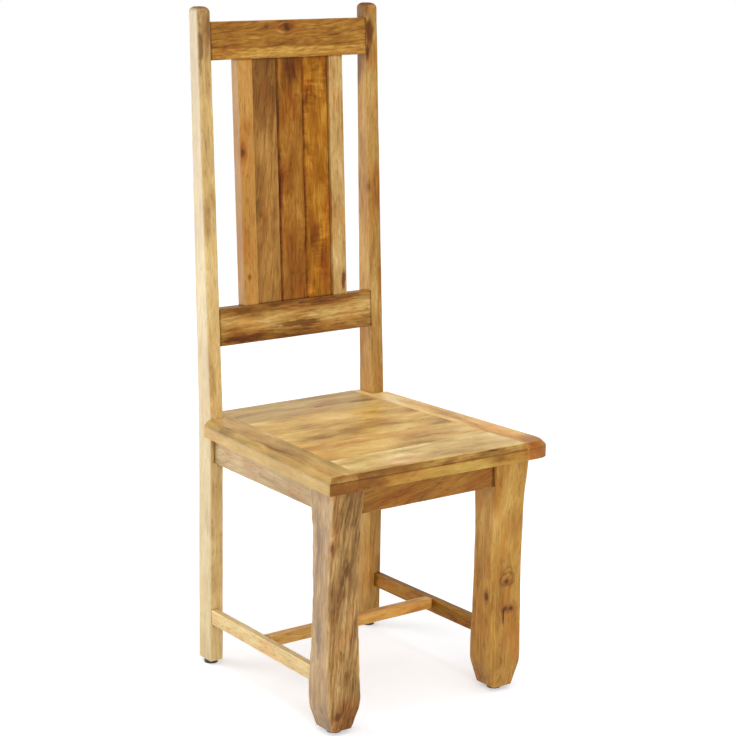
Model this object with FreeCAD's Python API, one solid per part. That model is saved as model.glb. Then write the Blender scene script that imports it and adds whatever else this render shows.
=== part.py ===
import FreeCAD, Part
import math
import os

# High-back wooden chair in millimetres: +Z up, it faces -Y, and +X is on the right seen from its front.
# Pieces are laid out with the posts' front faces at Y = 0 and moved by PLAN_SHIFT at the end.

# Seat
SEAT_HEIGHT = 450.0
SEAT_THICKNESS = 29.0
SEAT_DEPTH = 409.0
SEAT_FRONT_WIDTH = 450.0
SEAT_FRONT_SKEW = 12.0
SEAT_EAR = 13.5
SEAT_BEVEL = 8.0
SEAT_LEFT_CORNER = 3.0
SEAT_RIGHT_CORNER = 26.0
SIDE_BOARD_WIDTH = 55.0
REAR_BOARD_REACH = 60.0
FRONT_BOARD_DEPTH = 87.0
MIDDLE_BOARDS = 3
POST_NOTCH_GAP = 0.3

# Rear posts
POST_SPREAD = 372.0
POST_WIDTH = 26.0
POST_DEPTH = 39.5
POST_TOP_DEPTH = 26.0
POST_RAKE = 42.0
POST_TOP_ROUND = 9.0
CHAIR_HEIGHT = 1147.0

# Back rails and panel
RAIL_THICKNESS = 24.0
TOP_RAIL_DROP = 25.0
TOP_RAIL_HEIGHT = 64.0
LOWER_RAIL_LIFT = 124.0
LOWER_RAIL_HEIGHT = 65.0
SLAT_GAP = 51.5
SLAT_WIDTH = 29.0
SLAT_THICKNESS = 22.0
BOARD_RECESS = 5.0
BOARD_THICKNESS = 13.0
CENTRE_BOARD_WIDTH = 53.0
BOARD_V = 3.0

# Front legs: width across X and depth along Y at six heights; the right leg is fuller above its swelling
LEG_INSET_SIDE = 55.0
LEG_INSET_FRONT = 57.0
LEG_TOP_WIDTH = 68.0
LEG_TOP_DEPTH = 64.0
LEG_SHOULDER_DROP = 71.0
LEG_SHOULDER_WIDTH = 59.5
LEG_SHOULDER_DEPTH = 56.0
LEG_WAIST_HEIGHT = 185.0
LEG_WAIST_WIDTH = 64.5
LEG_WAIST_DEPTH = 45.5
LEG_SWELL_HEIGHT = 73.0
LEG_SWELL_WIDTH = 66.5
LEG_SWELL_DEPTH = 60.0
LEG_TOE_HEIGHT = 48.0
LEG_TOE_WIDTH = 65.5
LEG_TOE_DEPTH = 60.0
LEG_FOOT_WIDTH = 41.0
LEG_FOOT_DEPTH = 48.0
LEG_ARRIS = 4.0
RIGHT_LEG_FULLER = 4.0

# Aprons
APRON_HEIGHT = 50.0
SIDE_APRON_THICKNESS = 18.0
SIDE_APRON_INSET = 7.0
SIDE_APRON_OFFSET = 8.5
FRONT_APRON_THICKNESS = 20.0
FRONT_APRON_INSET = 7.0
REAR_APRON_THICKNESS = 18.0
REAR_APRON_INSET = 3.0

# Stretchers
STRETCHER_HEIGHT = 27.0
STRETCHER_THICKNESS = 13.0
STRETCHER_LIFT = 78.0
STRETCHER_INSET = 1.0
STRETCHER_OFFSET = 14.5
CROSS_HEIGHT = 19.0
CROSS_THICKNESS = 19.0

# Joints
TENON_THICKNESS = 8.0
TENON_LENGTH = 16.0
TENON_SHOULDER = 6.0
STRETCHER_TENON = 6.5
CROSS_TENON_LENGTH = 8.0
STUB_LENGTH = 12.0
TONGUE = 7.0
TONGUE_REACH = 8.0
TONGUE_STOP = 15.0
EDGE_TONGUE = 5.0
FIT = 0.1
GLUE_GAP = 0.5

# Corner blocks, screws and glides
BLOCK_HEIGHT = 32.0
BLOCK_THICKNESS = 24.0
BLOCK_CLEARANCE = 2.0
BLOCK_GRIP = 13.0
SCREW_RADIUS = 2.0
SCREW_HEAD_RADIUS = 4.0
SCREW_HEAD_HEIGHT = 2.5
SCREW_BITE = 11.0
SEAT_SCREW_BITE = 14.0
SEAT_SCREW_SET = 12.0
GLIDE_RADIUS = 12.0
GLIDE_THICKNESS = 8.0
NAIL_RADIUS = 1.2
NAIL_SEAT = 1.5
NAIL_BITE = 14.0

# Places that follow from the sizes above
POST_FACE = POST_SPREAD / 2
POST_INNER = POST_FACE - POST_WIDTH
SEAT_UNDER = SEAT_HEIGHT - SEAT_THICKNESS
LEG_SHOULDER_HEIGHT = SEAT_UNDER - LEG_SHOULDER_DROP
SEAT_REAR_HALF = POST_FACE + SEAT_EAR
SEAT_FRONT_HALF = SEAT_FRONT_WIDTH / 2
SEAT_REACH = SEAT_DEPTH + SEAT_FRONT_SKEW
LEG_X = SEAT_FRONT_HALF - LEG_INSET_SIDE
LEG_Y = LEG_INSET_FRONT - SEAT_DEPTH
APRON_LOW = SEAT_UNDER - APRON_HEIGHT
FRONT_APRON_Y = LEG_Y - LEG_TOP_DEPTH / 2 + FRONT_APRON_INSET + FRONT_APRON_THICKNESS / 2
REAR_APRON_Y = POST_DEPTH - REAR_APRON_INSET - REAR_APRON_THICKNESS / 2
STRETCHER_TOP = STRETCHER_LIFT + STRETCHER_HEIGHT
CROSS_Y = (LEG_Y + LEG_SWELL_DEPTH / 2) / 2
RAKE_RISE = CHAIR_HEIGHT - SEAT_HEIGHT
RAKE_ANGLE = math.atan2(POST_RAKE, RAKE_RISE)
BACK_LENGTH = math.hypot(POST_RAKE, RAKE_RISE)
TOP_RAIL_LOW = BACK_LENGTH - TOP_RAIL_DROP - TOP_RAIL_HEIGHT
LOWER_RAIL_TOP = LOWER_RAIL_LIFT + LOWER_RAIL_HEIGHT
SLAT_OUTER = POST_INNER - SLAT_GAP
SLAT_INNER = SLAT_OUTER - SLAT_WIDTH
RAIL_MIDDLE = RAIL_THICKNESS / 2
PLAN_SHIFT = (SEAT_REACH - POST_RAKE - POST_TOP_DEPTH) / 2

NEAR = 0.01

V = FreeCAD.Vector


def block(x0, x1, y0, y1, z0, z1):
    """An upright box between two corners."""
    return Part.makeBox(x1 - x0, y1 - y0, z1 - z0, V(x0, y0, z0))


def prism(outline, z0, z1):
    """A plan outline of straight sides, raised from z0 to z1."""
    wire = Part.makePolygon([V(x, y, z0) for x, y in outline + outline[:1]])
    return Part.Face(wire).extrude(V(0, 0, z1 - z0))


def strip(start, end, thickness, z0, z1):
    """A bar of constant thickness in plan, cut square to Y or X at its two ends."""
    (xa, ya), (xb, yb) = start, end
    half = thickness / 2
    if abs(yb - ya) > abs(xb - xa):
        outline = [(xa - half, ya), (xa + half, ya), (xb + half, yb), (xb - half, yb)]
    else:
        outline = [(xa, ya - half), (xb, yb - half), (xb, yb + half), (xa, ya + half)]
    return prism(outline, z0, z1)


def mirrored(shape):
    """The same piece on the other side of the chair."""
    return shape.mirror(V(0, 0, 0), V(1, 0, 0))


def back_frame(shape):
    """Moves a piece from the back's own frame, upright on the seat line, to the rake of the posts."""
    turn = FreeCAD.Rotation(V(1, 0, 0), -math.degrees(RAKE_ANGLE))
    placed = shape.copy()
    placed.Placement = FreeCAD.Placement(V(0, 0, SEAT_HEIGHT), turn)
    return placed


def rounded_section(x, y, z, width, depth):
    """A rectangle with rounded arrises, level at height z."""
    points = []
    for sx, sy in ((1, 1), (-1, 1), (-1, -1), (1, -1)):
        cx = x + sx * (width / 2 - LEG_ARRIS)
        cy = y + sy * (depth / 2 - LEG_ARRIS)
        start = math.atan2(sy, sx) - math.pi / 4
        steps = (start, start + math.pi / 4, start + math.pi / 2)
        points.append([V(cx + LEG_ARRIS * math.cos(a), cy + LEG_ARRIS * math.sin(a), z) for a in steps])
    edges = []
    for arc, following in zip(points, points[1:] + points[:1]):
        edges.append(Part.Arc(*arc).toShape())
        edges.append(Part.makeLine(arc[2], following[0]))
    return Part.Wire(edges)


def front_leg_blank(fuller):
    """A front leg on the left side without mortises: flare, waist, swelling and tapered foot."""
    sizes = (
        (SEAT_UNDER, LEG_TOP_WIDTH + fuller, LEG_TOP_DEPTH + fuller),
        (LEG_SHOULDER_HEIGHT, LEG_SHOULDER_WIDTH + fuller, LEG_SHOULDER_DEPTH + fuller),
        (LEG_WAIST_HEIGHT, LEG_WAIST_WIDTH + fuller, LEG_WAIST_DEPTH + fuller),
        (LEG_SWELL_HEIGHT, LEG_SWELL_WIDTH, LEG_SWELL_DEPTH),
        (LEG_TOE_HEIGHT, LEG_TOE_WIDTH, LEG_TOE_DEPTH),
        (GLIDE_THICKNESS, LEG_FOOT_WIDTH, LEG_FOOT_DEPTH),
    )
    sections = [rounded_section(-LEG_X, LEG_Y, z, w, d) for z, w, d in sizes]
    top, shoulder, waist, swell, toe, foot = sections
    upper = Part.makeLoft([shoulder, top], True, True)
    calf = Part.makeLoft([swell, waist, shoulder], True, False)
    lower = Part.makeLoft([foot, toe, swell], True, True)
    return upper.fuse([calf, lower])


def rear_post_blank():
    """The left rear post without mortises: upright to the seat, then raked and tapered to a round top."""
    profile = [
        (0, GLIDE_THICKNESS),
        (POST_DEPTH, GLIDE_THICKNESS),
        (POST_DEPTH, SEAT_HEIGHT),
        (POST_RAKE + POST_TOP_DEPTH, CHAIR_HEIGHT),
        (POST_RAKE, CHAIR_HEIGHT),
        (0, SEAT_HEIGHT),
    ]
    wire = Part.makePolygon([V(-POST_FACE, y, z) for y, z in profile + profile[:1]])
    post = Part.Face(wire).extrude(V(POST_WIDTH, 0, 0))
    top_edges = [e for e in post.Edges if e.CenterOfMass.z > CHAIR_HEIGHT - NEAR]
    return post.makeFillet(POST_TOP_ROUND, top_edges)


def side_bar(rear_x, front_x, thickness, z0, z1, tenon, leg):
    """A left rail from post to front leg, tenoned at both ends, and the tool that cuts its mortises."""
    slope = (front_x - rear_x) / LEG_Y
    rear_end = TENON_LENGTH
    front_end = LEG_Y + LEG_SHOULDER_DEPTH / 2 - TENON_LENGTH

    def middle(y):
        return (-rear_x - slope * y, y)

    body = strip(middle(0), middle(LEG_Y), thickness, z0, z1).cut(leg)
    low, high = z0 + TENON_SHOULDER, z1 - TENON_SHOULDER
    bar = body.fuse(strip(middle(rear_end), middle(front_end), tenon, low, high)).removeSplitter()
    tool_ends = (middle(rear_end + GLUE_GAP), middle(front_end - GLUE_GAP))
    tool = strip(*tool_ends, tenon + 2 * FIT, low - FIT, high + FIT)
    return bar, tool


def cross_bar(half_body, half_tenon, y, thickness, z0, z1, tenon, shoulder, neighbours):
    """A rail across the chair with a tenon at each end, and the tool that cuts its mortises."""
    body = strip((-half_body, y), (half_body, y), thickness, z0, z1)
    for piece in neighbours:
        body = body.cut(piece)
    low, high = z0 + shoulder, z1 - shoulder
    bar = body.fuse(strip((-half_tenon, y), (half_tenon, y), tenon, low, high)).removeSplitter()
    reach = half_tenon + GLUE_GAP
    tool = strip((-reach, y), (reach, y), tenon + 2 * FIT, low - FIT, high + FIT)
    return bar, tool


def back_rail(low, high):
    """A back rail between the posts, in the back's frame, and the tool that cuts its mortises."""
    half_tenon = POST_INNER + TENON_LENGTH
    return cross_bar(POST_INNER, half_tenon, RAIL_MIDDLE, RAIL_THICKNESS, low, high,
                     TENON_THICKNESS, TENON_SHOULDER, [])


def back_slat():
    """The left outer slat in the back's frame: grooved on its inner edge, with a stub tenon at each end."""
    low, high = LOWER_RAIL_TOP, TOP_RAIL_LOW
    slat = block(-SLAT_OUTER, -SLAT_INNER, 0, SLAT_THICKNESS, low, high)
    groove_half = EDGE_TONGUE / 2 + FIT
    groove_depth = EDGE_TONGUE + GLUE_GAP
    slat = slat.cut(block(-SLAT_INNER - groove_depth, -SLAT_INNER, RAIL_MIDDLE - groove_half,
                          RAIL_MIDDLE + groove_half, low, high))
    return slat.fuse(slat_stub(0, 0)).removeSplitter()


def slat_stub(spare, deeper):
    """The stub tenons of the left slat as one bar; its mortises are larger by a spare and deeper."""
    inset = TENON_SHOULDER
    half = TENON_THICKNESS / 2 + spare
    x0, x1 = -SLAT_OUTER + inset - spare, -SLAT_INNER - 2 * inset + spare
    reach = STUB_LENGTH + deeper
    return block(x0, x1, RAIL_MIDDLE - half, RAIL_MIDDLE + half,
                 LOWER_RAIL_TOP - reach, TOP_RAIL_LOW + reach)


def back_board(left, right, left_tongue, right_tongue):
    """One board of the back panel in the back's frame: V edges in front, tongues or grooves on its edges."""
    front, back = BOARD_RECESS, BOARD_RECESS + BOARD_THICKNESS
    outline = [(left + BOARD_V, front), (right - BOARD_V, front), (right, front + BOARD_V),
               (right, back), (left, back), (left, front + BOARD_V)]
    board = prism(outline, LOWER_RAIL_TOP, TOP_RAIL_LOW)
    half = EDGE_TONGUE / 2
    spare = half + FIT
    deep = EDGE_TONGUE + GLUE_GAP
    for edge, outward, has_tongue in ((left, -1, left_tongue), (right, 1, right_tongue)):
        if has_tongue:
            far = edge + outward * EDGE_TONGUE
            board = board.fuse(block(min(edge, far), max(edge, far), RAIL_MIDDLE - half, RAIL_MIDDLE + half,
                                     LOWER_RAIL_TOP, TOP_RAIL_LOW))
        else:
            far = edge - outward * deep
            board = board.cut(block(min(edge, far), max(edge, far), RAIL_MIDDLE - spare, RAIL_MIDDLE + spare,
                                    LOWER_RAIL_TOP, TOP_RAIL_LOW))
    ends = block(left, right, RAIL_MIDDLE - TONGUE / 2, RAIL_MIDDLE + TONGUE / 2,
                 LOWER_RAIL_TOP - TONGUE_REACH, LOWER_RAIL_TOP)
    upper = block(left, right, RAIL_MIDDLE - TONGUE / 2, RAIL_MIDDLE + TONGUE / 2,
                  TOP_RAIL_LOW, TOP_RAIL_LOW + TONGUE_REACH)
    return board.fuse([ends, upper]).removeSplitter()


def panel_groove():
    """The groove for the three boards, one tool through both rails."""
    half = TONGUE / 2 + FIT
    reach = TONGUE_REACH + GLUE_GAP
    return block(-SLAT_INNER, SLAT_INNER, RAIL_MIDDLE - half, RAIL_MIDDLE + half,
                 LOWER_RAIL_TOP - reach, TOP_RAIL_LOW + reach)


def build_back(parts):
    """Posts, rails and back panel."""
    post = rear_post_blank()
    top_rail, top_tool = back_rail(TOP_RAIL_LOW, TOP_RAIL_LOW + TOP_RAIL_HEIGHT)
    low_rail, low_tool = back_rail(LOWER_RAIL_LIFT, LOWER_RAIL_TOP)
    stubs = slat_stub(FIT, GLUE_GAP)
    tools = [stubs, mirrored(stubs), panel_groove()]
    slat = back_slat()
    half = CENTRE_BOARD_WIDTH / 2
    in_frame = {
        "top_rail": top_rail.cut(tools),
        "lower_back_rail": low_rail.cut(tools),
        "back_slat_left": slat,
        "back_slat_right": mirrored(slat),
        "back_board_left": back_board(-SLAT_INNER, -half, True, False),
        "back_board_centre": back_board(-half, half, True, True),
        "back_board_right": back_board(half, SLAT_INNER, False, True),
    }
    for name, shape in in_frame.items():
        parts[name] = back_frame(shape)
    return post.cut([back_frame(top_tool), back_frame(low_tool)])


def seat_half(y):
    """Half the seat's width at y: it flares evenly from the posts to the front."""
    return SEAT_REAR_HALF - (SEAT_FRONT_HALF - SEAT_REAR_HALF) / SEAT_DEPTH * y


def seat_inner(y, extra=0.0):
    """Half the width, at y, of the field of cross boards between the two side boards."""
    return seat_half(y) - SIDE_BOARD_WIDTH + extra


def eased_corner(panel, x, y, radius):
    """A seat panel with one upright edge of its plan rounded."""
    upright = V(x, y, (SEAT_UNDER + SEAT_HEIGHT) / 2)
    return panel.makeFillet(radius, [e for e in panel.Edges if e.CenterOfMass.isEqual(upright, NEAR)])


def seat_panel():
    """The seat before it is parted into boards: flared, notched round the posts, bevelled, corners eased.

    The front edge runs a little askew: its right end reaches further forward.
    """
    rear = POST_INNER - POST_NOTCH_GAP
    left, right = (-SEAT_FRONT_HALF, -SEAT_DEPTH), (seat_half(-SEAT_REACH), -SEAT_REACH)
    outline = [(-SEAT_REAR_HALF, 0), left, right, (SEAT_REAR_HALF, 0),
               (rear, 0), (rear, POST_DEPTH), (-rear, POST_DEPTH), (-rear, 0)]
    square = prism(outline, SEAT_UNDER, SEAT_HEIGHT)
    rounded = eased_corner(square, *right, SEAT_RIGHT_CORNER)
    worn = [e for e in rounded.Edges if e.BoundBox.ZMin > SEAT_HEIGHT - NEAR and e.CenterOfMass.y < -NEAR]
    panel = rounded.makeChamfer(SEAT_BEVEL, worn).common(eased_corner(square, *left, SEAT_LEFT_CORNER))
    for side in (-1, 1):
        x0, x1 = sorted((side * (POST_INNER - POST_NOTCH_GAP), side * (POST_FACE + POST_NOTCH_GAP)))
        panel = panel.cut(block(x0, x1, -POST_NOTCH_GAP, POST_DEPTH, SEAT_UNDER, SEAT_HEIGHT))
    return panel


def field_slab(y0, y1, extra, z0, z1):
    """A slab as wide as the field of cross boards plus an extra on each side."""
    outline = [(-seat_inner(y0, extra), y0), (seat_inner(y0, extra), y0),
               (seat_inner(y1, extra), y1), (-seat_inner(y1, extra), y1)]
    return prism(outline, z0, z1)


def build_seat(parts):
    """Two side boards, grooved, and the cross boards, tongued into them and into each other."""
    panel = seat_panel()
    middle = (SEAT_UNDER + SEAT_HEIGHT) / 2
    low, high = middle - TONGUE / 2, middle + TONGUE / 2
    front_stop, rear_stop = -SEAT_DEPTH + TONGUE_STOP, POST_DEPTH - TONGUE_STOP
    field = field_slab(-SEAT_REACH, POST_DEPTH, 0, SEAT_UNDER, SEAT_HEIGHT)
    groove = field_slab(front_stop - FIT, rear_stop + FIT, TONGUE_REACH + GLUE_GAP, low - FIT, high + FIT)
    sides = panel.cut([field, groove]).Solids
    parts["seat_side_board_left"] = min(sides, key=lambda s: s.CenterOfMass.x)
    parts["seat_side_board_right"] = max(sides, key=lambda s: s.CenterOfMass.x)
    step = (SEAT_DEPTH - REAR_BOARD_REACH - FRONT_BOARD_DEPTH) / MIDDLE_BOARDS
    joints = [POST_DEPTH] + [-REAR_BOARD_REACH - step * i for i in range(MIDDLE_BOARDS + 1)] + [-SEAT_REACH]
    last = MIDDLE_BOARDS + 2
    for number, (back, front) in enumerate(zip(joints, joints[1:]), start=1):
        board = panel.common(field_slab(front, back, 0, SEAT_UNDER, SEAT_HEIGHT))
        tongue = field_slab(max(front, front_stop), min(back, rear_stop), TONGUE_REACH, low, high)
        board = board.fuse(tongue)
        if number > 1:
            half = seat_inner(back) - TONGUE_STOP
            board = board.fuse(block(-half, half, back, back + TONGUE_REACH, low, high))
        if number < last:
            half = seat_inner(front) - TONGUE_STOP + FIT
            depth = TONGUE_REACH + GLUE_GAP
            board = board.cut(block(-half, half, front, front + depth, low - FIT, high + FIT))
        parts["seat_cross_board_%d" % number] = board.removeSplitter()


def build_base(parts, post):
    """Front legs, aprons and the H of stretchers, all tenoned into the legs and posts."""
    blanks = {"left": front_leg_blank(0.0), "right": front_leg_blank(RIGHT_LEG_FULLER)}
    legs = [blanks["left"], mirrored(blanks["right"])]
    apron_rear = POST_FACE - SIDE_APRON_INSET - SIDE_APRON_THICKNESS / 2
    bar_rear = POST_FACE - STRETCHER_INSET - STRETCHER_THICKNESS / 2
    bar_front = LEG_X + STRETCHER_OFFSET
    front_tenon = LEG_X - LEG_SHOULDER_WIDTH / 2 + TENON_LENGTH
    front, front_tool = cross_bar(LEG_X, front_tenon, FRONT_APRON_Y, FRONT_APRON_THICKNESS,
                                  APRON_LOW, SEAT_UNDER, TENON_THICKNESS, TENON_SHOULDER, legs)
    rear, rear_tool = cross_bar(POST_INNER, POST_INNER + TENON_LENGTH, REAR_APRON_Y, REAR_APRON_THICKNESS,
                                APRON_LOW, SEAT_UNDER, TENON_THICKNESS, TENON_SHOULDER, [])
    aprons, bars, tools = {}, {}, {}
    for side, leg in blanks.items():
        aprons[side], apron_tool = side_bar(apron_rear, LEG_X + SIDE_APRON_OFFSET, SIDE_APRON_THICKNESS,
                                            APRON_LOW, SEAT_UNDER, TENON_THICKNESS, leg)
        bars[side], bar_tool = side_bar(bar_rear, bar_front, STRETCHER_THICKNESS,
                                        STRETCHER_LIFT, STRETCHER_TOP, STRETCHER_TENON, leg)
        tools[side] = [apron_tool, bar_tool]
    bar_middle = bar_rear + (bar_front - bar_rear) * CROSS_Y / LEG_Y
    cross_tenon = bar_middle - STRETCHER_THICKNESS / 2 + CROSS_TENON_LENGTH
    cross, cross_tool = cross_bar(bar_middle, cross_tenon, CROSS_Y, CROSS_THICKNESS,
                                  STRETCHER_TOP - CROSS_HEIGHT, STRETCHER_TOP,
                                  TENON_THICKNESS, TENON_SHOULDER, [bars["left"], mirrored(bars["right"])])
    for side, leg in blanks.items():
        pieces = {"rear_post": post.cut(tools[side] + [rear_tool]),
                  "front_leg": leg.cut(tools[side] + [front_tool]),
                  "side_apron": aprons[side],
                  "side_stretcher": bars[side].cut(cross_tool)}
        for name, shape in pieces.items():
            parts["%s_%s" % (name, side)] = shape if side == "left" else mirrored(shape)
    parts["front_apron"] = front
    parts["rear_apron"] = rear
    parts["cross_stretcher"] = cross


def apron_inner(y):
    """X of the inner face of the right side apron at y."""
    rear = POST_FACE - SIDE_APRON_INSET - SIDE_APRON_THICKNESS
    front = LEG_X + SIDE_APRON_OFFSET - SIDE_APRON_THICKNESS / 2
    return rear + (front - rear) * y / LEG_Y


def block_outline(corner_x, corner_y, face_y):
    """Plan of a right-hand corner block: a diagonal bar from a cross apron to the side apron."""
    toward = 1 if face_y > corner_y else -1
    reach = BLOCK_THICKNESS * math.sqrt(2)
    near_x = corner_x - BLOCK_CLEARANCE - abs(face_y - corner_y)
    slope = (apron_inner(LEG_Y) - apron_inner(0)) / LEG_Y
    outline = [(near_x, face_y), (near_x - reach, face_y)]
    for x in (near_x - reach, near_x):
        meet = (apron_inner(face_y) - x) / (1 + slope * toward)
        y = face_y - toward * meet
        outline.append((apron_inner(y), y))
    return outline


def screw(tip_length, spare):
    """A countersunk screw that points up +Z, its head's face at the origin; a hole is thicker by a spare."""
    radius = SCREW_RADIUS + spare
    head = Part.makeCone(SCREW_HEAD_RADIUS + spare, radius, SCREW_HEAD_HEIGHT)
    shank = Part.makeCylinder(radius, tip_length - SCREW_HEAD_HEIGHT, V(0, 0, SCREW_HEAD_HEIGHT))
    return head.fuse(shank).removeSplitter()


def aimed(shape, point, direction):
    """A piece made along +Z at the origin, put at a point along a direction."""
    placed = shape.copy()
    placed.Placement = FreeCAD.Placement(point, FreeCAD.Rotation(V(0, 0, 1), direction))
    return placed


def seat_screw_into(parts, piece, at):
    """Drills a block and the seat boards above it for one seat screw, and gives the block and the screw."""
    length = BLOCK_HEIGHT + SEAT_SCREW_BITE
    hole = aimed(screw(length + GLUE_GAP, FIT), at, V(0, 0, 1))
    for name in [n for n in parts if n.startswith("seat_") and "board" in n]:
        parts[name] = parts[name].cut(hole)
    return piece.cut(hole), aimed(screw(length, 0), at, V(0, 0, 1))


def apron_screw_into(parts, piece, at, way, apron):
    """Drills a block and an apron for one screw, head inside the block; gives the block and the screw."""
    length = BLOCK_GRIP + SCREW_BITE
    hole = aimed(screw(length + GLUE_GAP, FIT), at, way)
    mouth = aimed(Part.makeCylinder(SCREW_HEAD_RADIUS + FIT, BLOCK_THICKNESS * 2), at, way * -1)
    parts[apron] = parts[apron].cut(hole)
    return piece.cut([hole, mouth]), aimed(screw(length, 0), at, way)


def build_corner_blocks(parts):
    """Corner blocks with their screws into the aprons and up into the seat."""
    front_face = FRONT_APRON_Y + FRONT_APRON_THICKNESS / 2
    rear_face = REAR_APRON_Y - REAR_APRON_THICKNESS / 2
    leg_half_width = (LEG_TOP_WIDTH + RIGHT_LEG_FULLER) / 2
    leg_half_depth = (LEG_TOP_DEPTH + RIGHT_LEG_FULLER) / 2
    leg_corner = (LEG_X - leg_half_width, LEG_Y + leg_half_depth)
    places = (("front", leg_corner, front_face), ("rear", (POST_INNER, 0), rear_face))
    low = SEAT_UNDER - BLOCK_HEIGHT
    level = SEAT_UNDER - BLOCK_HEIGHT / 2
    apron_screws, seat_screws = [], []
    for end, corner, face_y in places:
        outline = block_outline(*corner, face_y)
        toward = 1 if face_y > corner[1] else -1
        middle_x = (outline[0][0] + outline[1][0]) / 2
        middle_y = (outline[2][1] + outline[3][1]) / 2
        for side, side_name in ((-1, "left"), (1, "right")):
            piece = prism([(side * x, y) for x, y in outline], low, SEAT_UNDER)
            seat_at = V(side * (middle_x + SEAT_SCREW_SET), face_y - toward * SEAT_SCREW_SET, low)
            piece, fastener = seat_screw_into(parts, piece, seat_at)
            seat_screws.append(fastener)
            cross_at = V(side * middle_x, face_y - toward * BLOCK_GRIP, level)
            side_at = V(side * (apron_inner(middle_y) - BLOCK_GRIP), middle_y, level)
            ways = ((cross_at, V(0, toward, 0), end + "_apron"),
                    (side_at, V(side, 0, 0), "side_apron_" + side_name))
            for at, way, apron in ways:
                piece, fastener = apron_screw_into(parts, piece, at, way, apron)
                apron_screws.append(fastener)
            parts["corner_block_%s_%s" % (end, side_name)] = piece
    parts["corner_block_screws"] = Part.makeCompound(apron_screws)
    parts["seat_screws"] = Part.makeCompound(seat_screws)


def build_glides(parts):
    """A glide under each foot with the nail that holds it."""
    feet = {"front_leg": (LEG_X, LEG_Y), "rear_post": (POST_FACE - POST_WIDTH / 2, POST_DEPTH / 2)}
    nails = []
    for foot, (x, y) in feet.items():
        for side, side_name in ((-1, "left"), (1, "right")):
            seat = V(side * x, y, GLIDE_THICKNESS - NAIL_SEAT)
            length = NAIL_SEAT + NAIL_BITE
            nails.append(Part.makeCylinder(NAIL_RADIUS, length, seat))
            hole = Part.makeCylinder(NAIL_RADIUS + FIT, length + GLUE_GAP, seat)
            glide = Part.makeCylinder(GLIDE_RADIUS, GLIDE_THICKNESS, V(side * x, y, 0))
            parts["glide_%s_%s" % (foot.split("_")[0], side_name)] = glide.cut(hole)
            name = "%s_%s" % (foot, side_name)
            parts[name] = parts[name].cut(hole)
    parts["glide_nails"] = Part.makeCompound(nails)


def main():
    """Builds every piece, stands the chair on its origin and writes one file per piece."""
    parts = {}
    post = build_back(parts)
    build_base(parts, post)
    build_seat(parts)
    build_corner_blocks(parts)
    build_glides(parts)
    os.makedirs("parts", exist_ok=True)
    for name, shape in parts.items():
        shape.translate(V(0, PLAN_SHIFT, 0))
        shape.exportStep("parts/%s.step" % name)
        print(name, len(shape.Solids), "solid, volume cm3", round(shape.Volume / 1000, 1), shape.isValid())


main()
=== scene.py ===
# %% [markdown]
# # A rustic mango-wood dining chair
# The real chair is a frame of solid sticks: two tall rear posts, two carved front legs, rails, aprons and an
# H of stretchers, with narrow boards for the seat and the back panel. All of it is one wood under one satin
# lacquer, so the looks live in three things: the worn arrises, the grain of each stick, and the light. The
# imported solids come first. They are a fixed frame, and each wooden skin below is built on one of them.

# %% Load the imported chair
import math

import bpy
import numpy as np
from mathutils import Matrix, Vector


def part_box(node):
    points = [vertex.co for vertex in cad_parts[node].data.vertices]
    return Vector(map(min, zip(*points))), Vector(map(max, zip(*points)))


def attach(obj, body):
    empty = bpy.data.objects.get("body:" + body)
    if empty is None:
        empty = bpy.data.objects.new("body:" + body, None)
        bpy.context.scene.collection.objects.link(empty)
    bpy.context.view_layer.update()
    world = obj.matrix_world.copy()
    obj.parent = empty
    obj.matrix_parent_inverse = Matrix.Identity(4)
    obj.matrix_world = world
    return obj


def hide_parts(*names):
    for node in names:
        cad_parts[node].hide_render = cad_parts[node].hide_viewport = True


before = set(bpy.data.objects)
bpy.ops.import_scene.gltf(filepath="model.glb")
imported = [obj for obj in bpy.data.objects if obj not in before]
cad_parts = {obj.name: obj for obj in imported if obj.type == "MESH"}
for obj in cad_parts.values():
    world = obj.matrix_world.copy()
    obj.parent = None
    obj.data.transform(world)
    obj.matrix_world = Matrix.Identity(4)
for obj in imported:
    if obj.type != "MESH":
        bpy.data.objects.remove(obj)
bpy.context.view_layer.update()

# %% [markdown]
# ## Sizes taken from the solids
# A joiner reads sizes off the work itself. The boxes of a few solids give the posts, the feet and the seat,
# in millimetres, so a skin can't drift away from its solid. A handful of sizes that no box shows, such as the
# lean of the back, are named here with the values the solids were made from.

# %% Read the sizes in millimetres
MM = 0.001


def span(node):
    """Lowest and highest corner of a solid, in millimetres."""
    low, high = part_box(node)
    return np.array(low) / MM, np.array(high) / MM


def middle_of(node):
    """Middle of a solid's box, in millimetres."""
    return sum(span(node)) / 2


def heights_of(node):
    """Heights of a solid's lowest and highest point, in millimetres."""
    return tuple(corner[2] for corner in span(node))


post_low, post_high = span("rear_post_left")
POST_FRONT = post_low[1]
POST_OUTER, POST_INNER = -post_low[0], -post_high[0]
POST_FOOT, POST_TOP = post_low[2], post_high[2]
POST_DEPTH = 2 * (middle_of("glide_rear_left")[1] - POST_FRONT)
POST_TOP_DEPTH, POST_TOP_ROUND = 26.0, 9.0
LEG_X, LEG_Y = -middle_of("glide_front_left")[0], middle_of("glide_front_left")[1]
SEAT_UNDER, SEAT_TOP = heights_of("seat_cross_board_3")
RAKE = 42.0
LEAN = math.atan2(RAKE, POST_TOP - SEAT_TOP)
BACK_LENGTH = math.hypot(RAKE, POST_TOP - SEAT_TOP)
LEFT, RIGHT = -1, 1
SIDES = {"left": LEFT, "right": RIGHT}
print("post face", round(POST_FRONT, 2), "seat", round(SEAT_TOP, 2))
print("leg axis", round(LEG_X, 2), round(LEG_Y, 2))

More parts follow.
